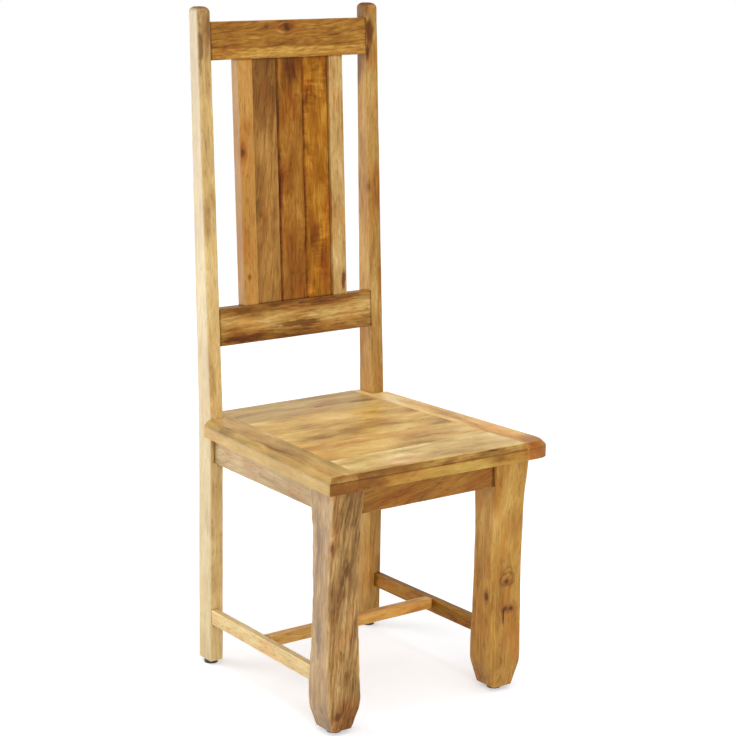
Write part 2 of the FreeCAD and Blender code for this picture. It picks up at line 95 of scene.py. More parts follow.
# %% [markdown]
# ## An outline with eased corners
# Nothing on the chair has a knife edge: each corner of a stick was taken off with a plane and sandpaper. A
# Bevel modifier could do this, but here the easing is part of the outline itself, so that its size can change
# along a stick. Between two corners the straight run is divided, which lets the face undulate a little.

# %% Ease the corners of an outline
CORNER_STEPS, RUN_STEPS = 5, 6


def eased(corners, radius, steps=CORNER_STEPS, between=RUN_STEPS):
    """Closed outline with soft corners.

    From each corner go back by the radius along both of its sides, and join those two points by a parabola
    that has the corner as its control point: (1-t)^2 start + 2t(1-t) corner + t^2 end. Then divide the
    straight run to the next corner into equal parts. Works on one outline or on a stack of them.
    """
    corners = np.asarray(corners, float)
    back = np.roll(corners, 1, axis=-2) - corners
    ahead = np.roll(corners, -1, axis=-2) - corners
    reach = np.broadcast_to(radius, corners.shape[:-1])[..., None]
    start = corners + back / np.linalg.norm(back, axis=-1, keepdims=True) * reach
    end = corners + ahead / np.linalg.norm(ahead, axis=-1, keepdims=True) * reach
    t = np.linspace(0, 1, steps)[:, None]
    start_, corner_, end_ = (a[..., None, :] for a in (start, corners, end))
    arc = (1 - t) ** 2 * start_ + 2 * t * (1 - t) * corner_ + t ** 2 * end_
    s = (np.arange(1, between + 1) / (between + 1))[:, None]
    run = (1 - s) * end_ + s * np.roll(start, -1, axis=-2)[..., None, :]
    return np.concatenate((arc, run), axis=-2).reshape(corners.shape[:-2] + (-1, 2))


def oblong(half_a, half_b):
    """Corners of a rectangle about the origin, anticlockwise; half sizes may be arrays along a stick."""
    half_a, half_b = np.broadcast_arrays(np.asarray(half_a, float), np.asarray(half_b, float))
    signs = np.array(((1, 1), (-1, 1), (-1, -1), (1, -1)), float)
    return signs * np.stack((half_a, half_b), axis=-1)[..., None, :]


print("an eased oblong has", eased(oblong(10, 20), 2).shape[0], "points")

# %% [markdown]
# ## From rings to a closed skin
# Every stick is a stack of such outlines, so one function can turn any stack into a mesh: belts of quads
# between neighbouring rings and a flat face over each end. Faces have to point outwards, so the function
# measures the enclosed volume and reverses the faces where it comes out negative.

# %% Build a skin from rings
CREASE = math.radians(32)
JOINT_LINE = 4.0


def enclosed(points, faces):
    """Volume inside closed faces: each face is fanned into triangles, and a.(b x c)/6 is added up."""
    total = 0.0
    for size in {len(f) for f in faces}:
        ring = points[np.array([f for f in faces if len(f) == size])]
        first, rest = ring[:, :1], ring[:, 1:]
        total += np.sum(first * np.cross(rest[:, :-1], rest[:, 1:])) / 6
    return total


def skin(name, rings, arris, joined):
    """Mesh object from rings[n, m, 3] in millimetres: quads from ring i to ring i+1, and both ends closed.

    Two weights are kept for the finish: arris is 1 on an eased corner and 0 on a flat, and seam is 1 on the
    end rings of a stick that is joined to others there.
    """
    count, around = rings.shape[:2]
    points = rings.reshape(-1, 3) * MM
    index = np.arange(count * around).reshape(count, around)
    beside = np.roll(index, -1, axis=1)
    quads = np.stack((index[:-1], beside[:-1], beside[1:], index[1:]), axis=-1).reshape(-1, 4)
    faces = quads.tolist() + [index[0, ::-1].tolist(), index[-1].tolist()]
    if enclosed(points, faces) < 0:
        faces = [face[::-1] for face in faces]
    mesh = bpy.data.meshes.new(name)
    mesh.from_pydata(points.tolist(), [], faces)
    mesh.shade_smooth()
    mesh.set_sharp_from_angle(angle=CREASE)
    seam = np.zeros(count)
    seam[[0, -1]] = joined
    for key, weights in (("arris", np.tile(arris, count)), ("seam", np.repeat(seam, around))):
        mesh.attributes.new(key, "FLOAT", "POINT").data.foreach_set("value", weights.astype(np.float32))
    piece = bpy.data.objects.new(name, mesh)
    bpy.context.collection.objects.link(piece)
    return piece


def arris_weights(corners):
    """1 in the middle of each eased corner, falling to 0 on the flats: sin(pi t) along the corner."""
    bump = np.sin(np.pi * np.linspace(0, 1, CORNER_STEPS))
    return np.tile(np.concatenate((bump, np.zeros(RUN_STEPS))), corners)


def spaced(length, count):
    """Shares 0 to 1 along a stick, with one short step at each end, where the joint line is drawn."""
    step = JOINT_LINE / length
    return np.concatenate(([0.0], np.linspace(step, 1 - step, count), [1.0]))


print("shares along a short stick:", np.round(spaced(100.0, 3), 2))

# %% [markdown]
# ## The hand of the planer
# A rustic stick is not a machined bar. Its faces wander by a few tenths of a millimetre and its arrises are
# rounder in some places than in others. Slow sine waves with seeded phases give both. On a face they only
# ever take wood away, so a skin keeps within the size of its solid.

# %% Let a stick's faces wander
# The arrises draw their phases from seeds of their own, this far from those of the faces.
ARRIS_SEEDS = 500


def waves(along, turn, lengths, rng):
    """Sum of slow sines between -1 and 1: sin(2 pi along/length + k turn + phase), one for each length."""
    total = 0.0
    for number, length in enumerate(lengths):
        phase = rng.uniform(0, 2 * np.pi)
        total = total + np.sin(2 * np.pi * along / length + (number % 3) * turn + phase)
    return total / len(lengths)


def planed(rings, depth, seed, lengths=(310.0, 173.0, 97.0, 61.0)):
    """Rings with every point drawn towards its ring's middle by depth (1 + wave) / 2 millimetres."""
    rng = np.random.default_rng(seed)
    middle = rings.mean(axis=1, keepdims=True)
    spoke = rings - middle
    far = np.linalg.norm(spoke, axis=-1, keepdims=True)
    steps = np.linalg.norm(np.diff(middle[:, 0], axis=0), axis=-1)
    along = np.concatenate(([0.0], np.cumsum(steps)))[:, None]
    turn = np.linspace(0, 2 * np.pi, rings.shape[1], endpoint=False)[None]
    draw = depth * (1 + waves(along, turn, lengths, rng)) / 2
    return rings - spoke / far * draw[..., None]


def soft_edge(base, along, seed, uneven=0.25, lengths=(240.0, 131.0, 77.0)):
    """Easing of an oblong's four arrises along a stick: the base radius times (1 + uneven wave)."""
    rng = np.random.default_rng(seed + ARRIS_SEEDS)
    return base * (1 + uneven * waves(along[:, None], 2.0 * np.arange(4), lengths, rng))


print("sample wander:", np.round(waves(np.arange(3) * 50.0, 0.0, (300.0, 90.0), np.random.default_rng(1)), 2))

# %% [markdown]
# ## Colours and nodes
# A colour is chosen as the hex value one reads on a screen, and Blender computes in linear light, so one
# function converts. Two more small functions empty a node tree and add a shader node with its settings and
# links, which keeps the material code readable.

# %% Helpers for materials
def linear(hex_colour):
    """Linear RGBA of an sRGB hex colour: c/12.92 below 0.04045, ((c + 0.055) / 1.055)^2.4 above."""
    srgb = np.array([int(hex_colour[i:i + 2], 16) for i in (1, 3, 5)]) / 255
    rgb = np.where(srgb <= 0.04045, srgb / 12.92, ((srgb + 0.055) / 1.055) ** 2.4)
    return (*rgb.tolist(), 1.0)


def emptied(owner):
    """Node tree of a new material or world, without the nodes it starts with."""
    owner.use_nodes = True
    owner.node_tree.nodes.clear()
    return owner.node_tree


def add(tree, kind, inputs=None, **settings):
    """Adds one node: settings are its properties, and each input is a value, a socket or a node."""
    node = tree.nodes.new("ShaderNode" + kind)
    for key, value in settings.items():
        setattr(node, key, value)
    for key, value in (inputs or {}).items():
        if isinstance(value, bpy.types.Node):
            value = value.outputs[0]
        if isinstance(value, bpy.types.NodeSocket):
            tree.links.new(value, node.inputs[key])
        else:
            node.inputs[key].default_value = value
    return node


print("honey in linear light:", [round(v, 3) for v in linear("#cfa667")])

# %% [markdown]
# ## Mango wood, layer by layer
# Mango is a pale honey wood with brown and grey heart streaks, dark pores and a lively figure. Each layer of
# that is a noise drawn out along the grain: sway bends the fibres, growth rings are contour lines of a broad
# noise, the figure and the fibres are fine, and patches shift the tone over a hand's breadth. Real pores are
# about 0.3 mm wide, too fine to show at this distance, so they are drawn nearly 2 mm wide.

# %% Layers of the grain
# Width across the grain and length along it, in millimetres, of the noises that all sticks share.
SWAY_SIZE, FIBRE_SIZE, PORE_SIZE, RAGGED_SIZE = (40, 90), (2.8, 90), (1.8, 15), (8, 22)
# The edge of a large mark frays over this many millimetres.
FRAY = 12.0


def drawn_out(tree, place, grain, size, detail, seed):
    """Noise whose blotches have a width across the grain and a length along it, in millimetres.

    The seed picks another part of the noise; each layer adds its own number to the seed of its stick.
    """
    width, length = size
    scale = [1 / (width * MM)] * 3
    scale["XYZ".index(grain)] = 1 / (length * MM)
    shift = (seed * 1.7, seed * 2.3, seed * 3.1)
    moved = add(tree, "Mapping", {"Vector": place, "Location": shift, "Scale": scale})
    return add(tree, "TexNoise", {"Vector": moved, "Scale": 1.0, "Detail": detail, "Roughness": 0.55})


def swayed(tree, place, look):
    """Place moved to and fro across the grain by up to about half the sway, in broad and in small bends."""
    drift = drawn_out(tree, place, look["grain"], SWAY_SIZE, 3.0, look["seed"] + 19)
    centred = add(tree, "VectorMath", {0: drift.outputs["Color"], 1: (0.5, 0.5, 0.5)}, operation="SUBTRACT")
    reach = [look["sway"] * MM] * 3
    return add(tree, "VectorMath", {0: centred, 1: reach, 2: place}, operation="MULTIPLY_ADD")


def ragged_edge(tree, place, look):
    """Raggedness of the edges of marks, between -0.7 and 0.7: 1.4 times a noise, less 0.7."""
    rough = drawn_out(tree, place, look["grain"], RAGGED_SIZE, 2.0, look["seed"] + 53)
    return add(tree, "Math", {0: rough, 1: 1.4, 2: -0.7}, operation="MULTIPLY_ADD")


def nearness(tree, place, ragged, mark, grain):
    """Distance from a mark's centre in radii, drawn out along the grain and ragged; and the offset."""
    offset = add(tree, "VectorMath", {0: place, 1: [v * MM for v in mark["at"]]}, operation="SUBTRACT")
    scale = [1 / (mark["radius"] * MM)] * 3
    scale["XYZ".index(grain)] /= mark["stretch"]
    shaped = add(tree, "VectorMath", {0: offset, 1: scale}, operation="MULTIPLY")
    distance = add(tree, "VectorMath", {0: shaped}, operation="LENGTH").outputs["Value"]
    fray = min(1.0, FRAY / mark["radius"])
    return add(tree, "Math", {0: ragged, 1: fray, 2: distance}, operation="MULTIPLY_ADD").outputs[0], offset


def parted(tree, place, distance, offset):
    """Place drawn towards a knot, so that the fibres part round it: up to 0.8 of the way, none at 4 radii."""
    pull = add(tree, "MapRange", {"Value": distance, "From Max": 4.0, "To Min": 0.8, "To Max": 0.0},
               interpolation_type="SMOOTHSTEP")
    drawn = add(tree, "VectorMath", {0: offset, "Scale": pull}, operation="SCALE")
    return add(tree, "VectorMath", {0: place, 1: drawn}, operation="SUBTRACT")


def round_marks(tree, bent, ragged, look):
    """Place with fibres parted round the knots and turned by the stick's tilt; and each mark's distance."""
    flow, distances = bent, []
    for mark in look["marks"]:
        distance, offset = nearness(tree, bent, ragged, mark, look["grain"])
        distances.append(distance)
        if "halo" in mark:
            flow = parted(tree, flow, distance, offset)
    flow = add(tree, "VectorRotate", {"Vector": flow, "Angle": math.radians(look["tilt"])},
               rotation_type=look["tilt_axis"] + "_AXIS")
    return flow, distances


print("sizes of fibres and pores in mm:", FIBRE_SIZE, PORE_SIZE)

# %% [markdown]
# The layers are mixed to one level between dark and light. Two more things shift that level: zones, which are
# broad bands across a stick, as where sapwood meets heartwood, and the short cross ripple of curly mango.

# %% Mix the grain to one level
# A growth ring's noise is longer than wide by this much; pores and ripples show between two levels of theirs.
RING_STRETCH, PORE_LEVELS = 6, (0.58, 0.74)
RIPPLE_SIZE, RIPPLE_PATCH, RIPPLE_LEVELS = (34, 7), (40, 75), (0.46, 0.62)


def grain_level(tree, place, look):
    """Level from 0 dark to 1 light, with the fibre and pore layers that the bump and the gloss use too.

    A growth ring gets darker slowly and ends in a thin dark line: the cube of the share of a turn.
    """
    grain, seed, ring = look["grain"], look["seed"], look["ring_width"]
    broad = drawn_out(tree, place, grain, (ring, RING_STRETCH * ring), 1.5, seed)
    count = add(tree, "Math", {0: broad, 1: look["rings"]}, operation="MULTIPLY")
    part = add(tree, "Math", {0: count}, operation="FRACT")
    late = add(tree, "Math", {0: part, 1: 3.0}, operation="POWER")
    layers = {"figure": drawn_out(tree, place, grain, look["figure_size"], 3.0, seed + 5),
              "fibre": drawn_out(tree, place, grain, FIBRE_SIZE, 2.0, seed + 3),
              "patch": drawn_out(tree, place, grain, look["patch_size"], 2.0, seed + 7)}
    start = 0.5 + look["tone"] + look["ring_depth"] / 4 - sum(look[name] for name in layers) / 2
    level = add(tree, "Math", {0: late, 1: -look["ring_depth"], 2: start}, operation="MULTIPLY_ADD")
    for name, layer in layers.items():
        level = add(tree, "Math", {0: layer, 1: look[name], 2: level}, operation="MULTIPLY_ADD")
    pores = drawn_out(tree, place, grain, PORE_SIZE, 0.0, seed + 11)
    pore = add(tree, "MapRange", {"Value": pores, "From Min": PORE_LEVELS[0], "From Max": PORE_LEVELS[1]},
               interpolation_type="SMOOTHSTEP")
    return level, layers["fibre"], pore


def zoned(tree, place, level, axis, stops):
    """Level shifted by zones across the stick: stops of (distance in mm along an axis, shift)."""
    reading = add(tree, "SeparateXYZ", {0: place}).outputs["XYZ".index(axis)]
    low, high = stops[0][0], stops[-1][0]
    share = add(tree, "MapRange", {"Value": reading, "From Min": low * MM, "From Max": high * MM})
    ramp = add(tree, "ValToRGB", {0: share})
    for number, (at, _) in enumerate(stops):
        stop = ramp.color_ramp.elements[number] if number < 2 else ramp.color_ramp.elements.new(1.0)
        stop.position = (at - low) / (high - low)
    for stop, (_, shift) in zip(ramp.color_ramp.elements, stops):
        stop.color = (0.5 + shift, 0.5 + shift, 0.5 + shift, 1)
    centred = add(tree, "Math", {0: ramp, 1: 0.5}, operation="SUBTRACT")
    return add(tree, "Math", {0: level, 1: centred}, operation="ADD")


def rippled(tree, place, level, look):
    """Level with the cross ripple of curly mango: short bars across the grain, only here and there."""
    bars = drawn_out(tree, place, look["grain"], RIPPLE_SIZE, 2.0, look["seed"] + 23)
    where = drawn_out(tree, place, look["grain"], RIPPLE_PATCH, 1.0, look["seed"] + 31)
    share = add(tree, "MapRange", {"Value": where, "From Min": RIPPLE_LEVELS[0], "From Max": RIPPLE_LEVELS[1],
                                   "To Max": look["ripple"]})
    centred = add(tree, "Math", {0: bars, 1: 0.5}, operation="SUBTRACT")
    return add(tree, "Math", {0: centred, 1: share, 2: level}, operation="MULTIPLY_ADD")


print("ripples in mm:", RIPPLE_SIZE)

# %% [markdown]
# A colour ramp turns the level into the four shades of a stick. Warm and grey heartwood, pores, knots, end
# grain, joint lines and worn arrises are then laid over it one by one, as glazes are laid over a ground.

# %% Shades, marks and wear
SHADE_STOPS = (0.1, 0.36, 0.6, 0.9)
STAIN_EDGE = 0.14
HALO_TINT, PORE_TINT = "#b98a52", "#94703f"
# Cosines at which painted light and shade on a side of a stick, and the tint of cut ends, start and are full.
PAINTED_SIDE_LIMITS, END_LIMITS = (0.45, 0.85), (0.5, 0.8)


def shaded(tree, level, shades):
    """Colour ramp from the darkest to the lightest of a stick's four shades."""
    ramp = add(tree, "ValToRGB", {0: level})
    stops = ramp.color_ramp.elements
    for number, (position, shade) in enumerate(zip(SHADE_STOPS, shades)):
        stop = stops[number] if number < 2 else stops.new(position)
        stop.position = position
        stop.color = linear(shade)
    return ramp.outputs[0]


def laid_over(tree, colour, share, tint, way="MULTIPLY"):
    """Colour with a tint laid over it where share is 1."""
    mixed = add(tree, "Mix", {0: share, 6: colour, 7: linear(tint)}, data_type="RGBA", blend_type=way)
    return mixed.outputs[2]


def stained(tree, colour, place, look, name, seed):
    """Colour with one kind of heartwood over it: drawn-out blotches, from a threshold to full share."""
    tint, width, length, threshold, share = look[name]
    blotch = drawn_out(tree, place, look["grain"], (width, length), 1.0, look["seed"] + seed)
    amount = add(tree, "MapRange", {"Value": blotch, "From Min": threshold,
                                    "From Max": threshold + STAIN_EDGE, "To Max": share})
    return laid_over(tree, colour, amount.outputs[0], tint)


def marked(tree, colour, distance, mark):
    """A knot, crack or streak: the tint is full in the mark's core and fades to its edge."""
    if "halo" in mark:
        ring = add(tree, "MapRange", {"Value": distance, "From Min": mark["halo"], "From Max": 0.8,
                                      "To Max": 0.6}, interpolation_type="SMOOTHSTEP")
        colour = laid_over(tree, colour, ring.outputs[0], HALO_TINT)
    if "ring" in mark:
        away = add(tree, "Math", {0: distance, 1: 1.0}, operation="SUBTRACT")
        size = add(tree, "Math", {0: away}, operation="ABSOLUTE")
        distance = add(tree, "Math", {0: size, 1: mark["ring"]}, operation="DIVIDE")
    share = add(tree, "MapRange", {"Value": distance, "From Min": 1.0, "From Max": mark["core"],
                                   "To Max": mark["share"]}, interpolation_type="SMOOTHSTEP")
    return laid_over(tree, colour, share.outputs[0], mark["tint"], mark["way"])


def end_grain_and_painted_side_light(tree, colour, direction, limits, tint, share, way):
    """Tint where the surface faces a direction, for dark cut ends and painted light and shade on a side;
    limits: cosines of none and full.
    """
    normal = add(tree, "NewGeometry").outputs["Normal"]
    dot = add(tree, "VectorMath", {0: normal, 1: direction}, operation="DOT_PRODUCT").outputs["Value"]
    turned = add(tree, "MapRange", {"Value": dot, "From Min": limits[0], "From Max": limits[1],
                                    "To Max": share})
    return laid_over(tree, colour, turned.outputs[0], tint, way)


def worn(tree, colour, fibre, look):
    """Colour with dark cut ends, with joint lines, and with the fibres rubbed pale on the arrises."""
    along = np.array([float(letter == look["grain"]) for letter in "XYZ"])
    for way in (along, -along):
        colour = end_grain_and_painted_side_light(tree, colour, way.tolist(), END_LIMITS, look["end"], 1.0, "MULTIPLY")
    seam = add(tree, "Attribute", attribute_name="seam").outputs["Fac"]
    colour = laid_over(tree, colour, seam, look["seam"])
    arris = add(tree, "Attribute", attribute_name="arris").outputs["Fac"]
    rubbed = add(tree, "Math", {0: arris, 1: fibre}, operation="MULTIPLY")
    return laid_over(tree, colour, rubbed.outputs[0], look["rub"], "ADD")


print("a stick's shades sit at", SHADE_STOPS)

# %% [markdown]
# All layers meet in one material, and each stick changes only what sets its wood apart from a plain one. The
# lacquer is satin: IOR 1.5, roughness around 0.45, and thin enough to reflect less than bare plastic would.
# Its fibres stand up a little and the pores dip, so the sheen is broken along the grain.

# %% Mango wood as one material
LACQUER_IOR, SATIN = 1.5, (0.52, 0.38)
BUMP_STRENGTH, PORE_DEPTH = 0.35, 0.6
# A heartwood stain is: tint, width and length in mm, threshold of the noise, and largest share.
PLAIN_LOOK = dict(
    grain="Z", seed=1.0, shades=("#8a5c28", "#b58848", "#cfa667", "#e2bf88"), sway=14.0, tilt=0.0,
    tilt_axis="Y", rings=10.0, ring_width=40.0, ring_depth=0.16, figure=0.7, figure_size=(4.5, 36),
    fibre=0.4, patch=0.8, patch_size=(34, 100), tone=0.0, faces=(), zones=(), marks=(),
    grey=("#c8aa82", 22, 110, 0.55, 0.6), warm=("#f2c287", 30, 80, 0.5, 0.45), ripple=0.0, pores=0.3,
    end="#c29a68", seam="#a08058", rub="#574426", relief=0.4, shine=0.3)


def mango(name, **changes):
    """Lacquered mango: honey shades, heartwood, pores, knots, end grain, joint lines and worn arrises."""
    look = {**PLAIN_LOOK, **changes}
    finish = bpy.data.materials.new(name)
    tree = emptied(finish)
    place = add(tree, "TexCoord").outputs["Object"]
    bent = swayed(tree, place, look)
    flow, distances = round_marks(tree, bent, ragged_edge(tree, place, look), look)
    level, fibre, pore = grain_level(tree, flow, look)
    for axis, stops, wanders in look["zones"]:
        level = zoned(tree, bent if wanders else place, level, axis, stops)
    if look["ripple"]:
        level = rippled(tree, bent, level, look)
    colour = shaded(tree, level, look["shades"])
    for heartwood, seed in (("warm", 41), ("grey", 29)):
        colour = stained(tree, colour, flow, look, heartwood, seed)
    dark = add(tree, "Math", {0: pore, 1: look["pores"]}, operation="MULTIPLY")
    colour = laid_over(tree, colour, dark.outputs[0], PORE_TINT)
    for distance, mark in zip(distances, look["marks"]):
        colour = marked(tree, colour, distance, mark)
    # Painted light and shade: a side of a stick that faces one way gets a tint for how it is lit.
    for direction, tint, share, way in look["faces"]:
        colour = end_grain_and_painted_side_light(tree, colour, direction, PAINTED_SIDE_LIMITS, tint, share, way)
    colour = worn(tree, colour, fibre, look)
    height = add(tree, "Math", {0: pore, 1: -PORE_DEPTH, 2: fibre}, operation="MULTIPLY_ADD")
    bump = add(tree, "Bump", {"Strength": BUMP_STRENGTH, "Distance": look["relief"] * MM, "Height": height})
    gloss = add(tree, "MapRange", {"Value": fibre, "To Min": SATIN[0], "To Max": SATIN[1]})
    surface = add(tree, "BsdfPrincipled", {"Base Color": colour, "Roughness": gloss, "Normal": bump,
                                           "IOR": LACQUER_IOR, "Specular IOR Level": look["shine"]})
    add(tree, "OutputMaterial", {"Surface": surface})
    return finish


print("a plain stick's look has", len(PLAIN_LOOK), "values")

# %% [markdown]
# What makes one stick differ from the next at first sight are its marks. Each has a place in millimetres, a
# radius, how many times longer it is along the grain, a tint and the largest share of that tint.

# %% Streaks, flashes, knots and burls
def lens(at, radius, stretch, tint, share, way="MULTIPLY", core=0.3, **more):
    """A lens-shaped streak of heartwood or sapwood along the grain; core is where its tint is full."""
    return dict(at=at, radius=radius, stretch=stretch, tint=tint, share=share, way=way, core=core, **more)


def flash(at, radius, stretch, tint, share):
    """A lens-shaped patch where the wood is lighter than its neighbours."""
    return lens(at, radius, stretch, tint, share, "ADD")


def knot(at, radius, stretch=1.3, share=0.85):
    """A knot: a dark core in a brown halo of 2.4 radii, with the fibres parting round it."""
    return lens(at, radius, stretch, "#4a2a12", share, "MIX", 0.6, halo=2.4)


def burl(at, radius, stretch, share):
    """A swirl of wood round a knot: only a dark rim, whose breadth is 0.3 of the radius."""
    return lens(at, radius, stretch, "#8a5e34", share, core=0.2, ring=0.3)


print("a knot is", knot((0.0, 0.0, 0.0), 5.0))

# %% [markdown]
# ## Hanging a skin on the frame
# Each finished skin says two things to the frame: which body carries it and which solid it stands for. It
# also gets its finish, and one function does all of this for every stick.

# %% Finish a piece
made = []


def stand_for(node, rings, arris, finish, joined=True):
    """Skin for one solid, with its finish, riding on the chair's one body."""
    piece = skin(node + "_wood", rings, arris, joined)
    piece.data.materials.append(finish)
    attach(piece, "root")
    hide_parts(node)
    made.append(piece)


print("pieces so far:", len(made))

# %% [markdown]
# ## The rear posts
# A post is one stick from the floor to its rounded top: upright to the seat, then leaning back and getting
# thinner. It could be swept along a curve, but the lean changes only once, so it is simpler to give each
# level ring its front and back edge as a function of height and to draw the last rings in to a dome.

# %% Posts: rings by height
POST_ARRIS, POST_WANDER = 2.2, 0.5
POST_RINGS, DOME_RINGS, DOME_START = 110, 9, 0.12


def level_rings(outline, x, y, z):
    """Outlines in x and y, each moved to its own middle and laid level at its own height."""
    across = outline[..., 0] + x
    deep = outline[..., 1] + y
    return np.stack((across, deep, np.broadcast_to(z[:, None], across.shape)), axis=-1)


def post_rings(side, seed):
    """Level outlines by height: front edge 0 then rising by the rake, back edge from full to top depth."""
    body = np.linspace(POST_FOOT, POST_TOP - POST_TOP_ROUND, POST_RINGS)
    dome = POST_TOP - POST_TOP_ROUND * (1 - np.sin(np.linspace(DOME_START, 1, DOME_RINGS) * np.pi / 2))
    z = np.concatenate((body, dome))
    share = np.clip((z - SEAT_TOP) / (POST_TOP - SEAT_TOP), 0, 1)
    front = POST_FRONT + RAKE * share
    back = POST_FRONT + POST_DEPTH + (RAKE + POST_TOP_DEPTH - POST_DEPTH) * share
    up = np.clip(z - (POST_TOP - POST_TOP_ROUND), 0, POST_TOP_ROUND)
    draw = POST_TOP_ROUND - np.sqrt(POST_TOP_ROUND ** 2 - up ** 2)
    half_x = (POST_OUTER - POST_INNER) / 2 - draw
    half_y = (back - front) / 2 - draw
    outline = eased(oblong(half_x, half_y), soft_edge(POST_ARRIS, z, seed))
    rings = level_rings(outline, side * (POST_OUTER + POST_INNER) / 2, ((front + back) / 2)[:, None], z)
    return planed(rings, POST_WANDER, seed)


four = arris_weights(4)
print("post rings:", post_rings(LEFT, 11).shape)

# %% [markdown]
# The left post is a pale stick that darkens towards its top, with painted sheen on its left face. The right
# one is golden, with brown heartwood where it meets the top rail and a painted shadow of the rail on its
# inner face. Faces that look to the left get a tint of painted light.

# %% Wood of the posts
TO_LEFT, TO_FRONT = (-1.0, 0.0, 0.0), (0.0, -1.0, 0.0)
left_post = mango(
    "mango wood, pale left post", seed=2.0, shades=("#a07a3c", "#c8a564", "#d8b674", "#efd496"), tilt=1.5,
    sway=8.0, figure=0.5, warm=("#f4cc98", 30, 80, 0.55, 0.3), shine=0.5,
    # Painted sheen: the left face gets a pale whitish tint.
    faces=((TO_LEFT, "#beb08e", 0.5, "MIX"),),
    # Painted light: the X zone makes the outer, left face a little paler.
    zones=(("X", ((-POST_OUTER, 0.1), (-POST_OUTER + 3, 0.0), (-POST_INNER, 0.0)), False),
           ("Z", ((8.0, 0.18), (450.0, 0.13), (700.0, 0.04), (850.0, -0.03), (1000.0, -0.09),
                  (1147.0, -0.29)), True)),
    marks=(lens((-182.0, 214.0, 1085.0), 6.0, 11.0, "#a88c64", 0.85),
           lens((-170.0, 214.0, 1105.0), 16.0, 4.0, "#ccb494", 0.8),
           # Painted sheen: a pale whitish streak on the upper part of the outer, left face.
           lens((-POST_OUTER, 226.0, 1010.0), 20.0, 9.0, "#d4d0c0", 0.9)))
right_post = mango(
    "mango wood, golden right post", seed=5.0, tilt=-2.0, sway=8.0, figure=0.5, shine=0.15,
    # Painted light and shade on the inner face, which looks left: a little warm yellow tint, and the X zone
    # darkens it.
    shades=("#825622", "#ab7e3c", "#be9450", "#d4b06e"), faces=((TO_LEFT, "#c8a038", 0.12, "MIX"),),
    zones=(("X", ((POST_INNER, -0.1), (POST_INNER + 2.5, 0.0), (POST_OUTER, 0.0)), False),),
    marks=(lens((166.0, 215.0, 1095.0), 15.0, 2.4, "#96683c", 0.9),
           lens((162.0, 213.0, 1062.0), 6.0, 4.6, "#8a5a34", 0.9),
           # Painted shadow: the wedge of the top rail's shadow on the inner face under the rail.
           lens((160.0, 239.0, 1064.0), 34.0, 2.6, "#966436", 1.0),
           lens((160.0, 231.0, 1136.0), 20.0, 1.5, "#966a3c", 0.9),
           knot((161.0, 200.0, 825.0), 4.5, 1.8, 0.6)))
stand_for("rear_post_left", post_rings(LEFT, 11), four, left_post, False)
stand_for("rear_post_right", post_rings(RIGHT, 12), four, right_post, False)
print("posts:", [piece.name for piece in made])

# %% [markdown]
# ## The front legs
# These are the carved pieces: wide under the seat, a waist, a swelling and a foot cut in. The section stays
# an oblong, so two curves, half width and half depth against height, hold the whole shape. Above the shoulder
# and at the foot the cuts are straight; between them one smooth curve runs through three heights.

# %% Legs: two curves against height
LEG_HEIGHTS = np.array((POST_FOOT, 48.0, 73.0, 185.0, 350.0, SEAT_UNDER))
LEG_WIDTHS = np.array((41.0, 65.5, 66.5, 64.5, 59.5, 68.0))
LEG_DEPTHS = np.array((48.0, 60.0, 60.0, 45.5, 56.0, 64.0))
RIGHT_LEG_FULLER = np.array((0.0, 0.0, 0.0, 4.0, 4.0, 4.0))
LEG_ARRIS, LEG_WANDER, LEG_WAVES = 4.6, 0.7, (260.0, 148.0, 83.0, 47.0)
LEG_RINGS, CREASE_SPREAD = 104, 3
# How uneven each leg's arrises are and over which lengths in mm; the left leg is the more worn one.
WORN = {LEFT: (0.5, (151.0, 89.0, 47.0, 23.0)), RIGHT: (0.3, (240.0, 131.0, 77.0))}


def leg_half(z, sizes, side):
    """Half a leg's size at height z: straight in top and foot, a parabola through three heights between."""
    sizes = sizes + RIGHT_LEG_FULLER * (side > 0)
    curve = np.polyfit(LEG_HEIGHTS[2:5], sizes[2:5], 2)
    straight = np.interp(z, LEG_HEIGHTS, sizes)
    calf = (z > LEG_HEIGHTS[2]) & (z < LEG_HEIGHTS[4])
    return np.where(calf, np.polyval(curve, z), straight) / 2


def in_front(side, x, z):
    """Place on the front face of a leg, for a mark in its wood."""
    return x, LEG_Y - float(leg_half(z, LEG_DEPTHS, side)), z


def on_left(side, y, z):
    """Place on the left face of a leg."""
    return side * LEG_X - float(leg_half(z, LEG_WIDTHS, side)), y, z


def rounded_off(values, spread):
    """Values along a stick averaged with their neighbours, which softens a crease; the ends stay."""
    kernel = np.hanning(2 * spread + 3)[1:-1]
    padded = np.concatenate((values[:1].repeat(spread), values, values[-1:].repeat(spread)))
    soft = np.convolve(padded, kernel / kernel.sum(), mode="valid")
    soft[[0, -1]] = values[[0, -1]]
    return np.minimum(soft, values)


def leg_rings(side, seed):
    """Level outlines by height with the two half sizes; creases softened, more wander than other sticks."""
    z = np.linspace(POST_FOOT, SEAT_UNDER, LEG_RINGS)
    halves = (rounded_off(leg_half(z, sizes, side), CREASE_SPREAD) for sizes in (LEG_WIDTHS, LEG_DEPTHS))
    outline = eased(oblong(*halves), soft_edge(LEG_ARRIS, z, seed, *WORN[side]))
    return planed(level_rings(outline, side * LEG_X, LEG_Y, z), LEG_WANDER, seed, LEG_WAVES)


print("marks on the left leg start at", np.round(in_front(LEFT, -166.0, 280.0), 1))
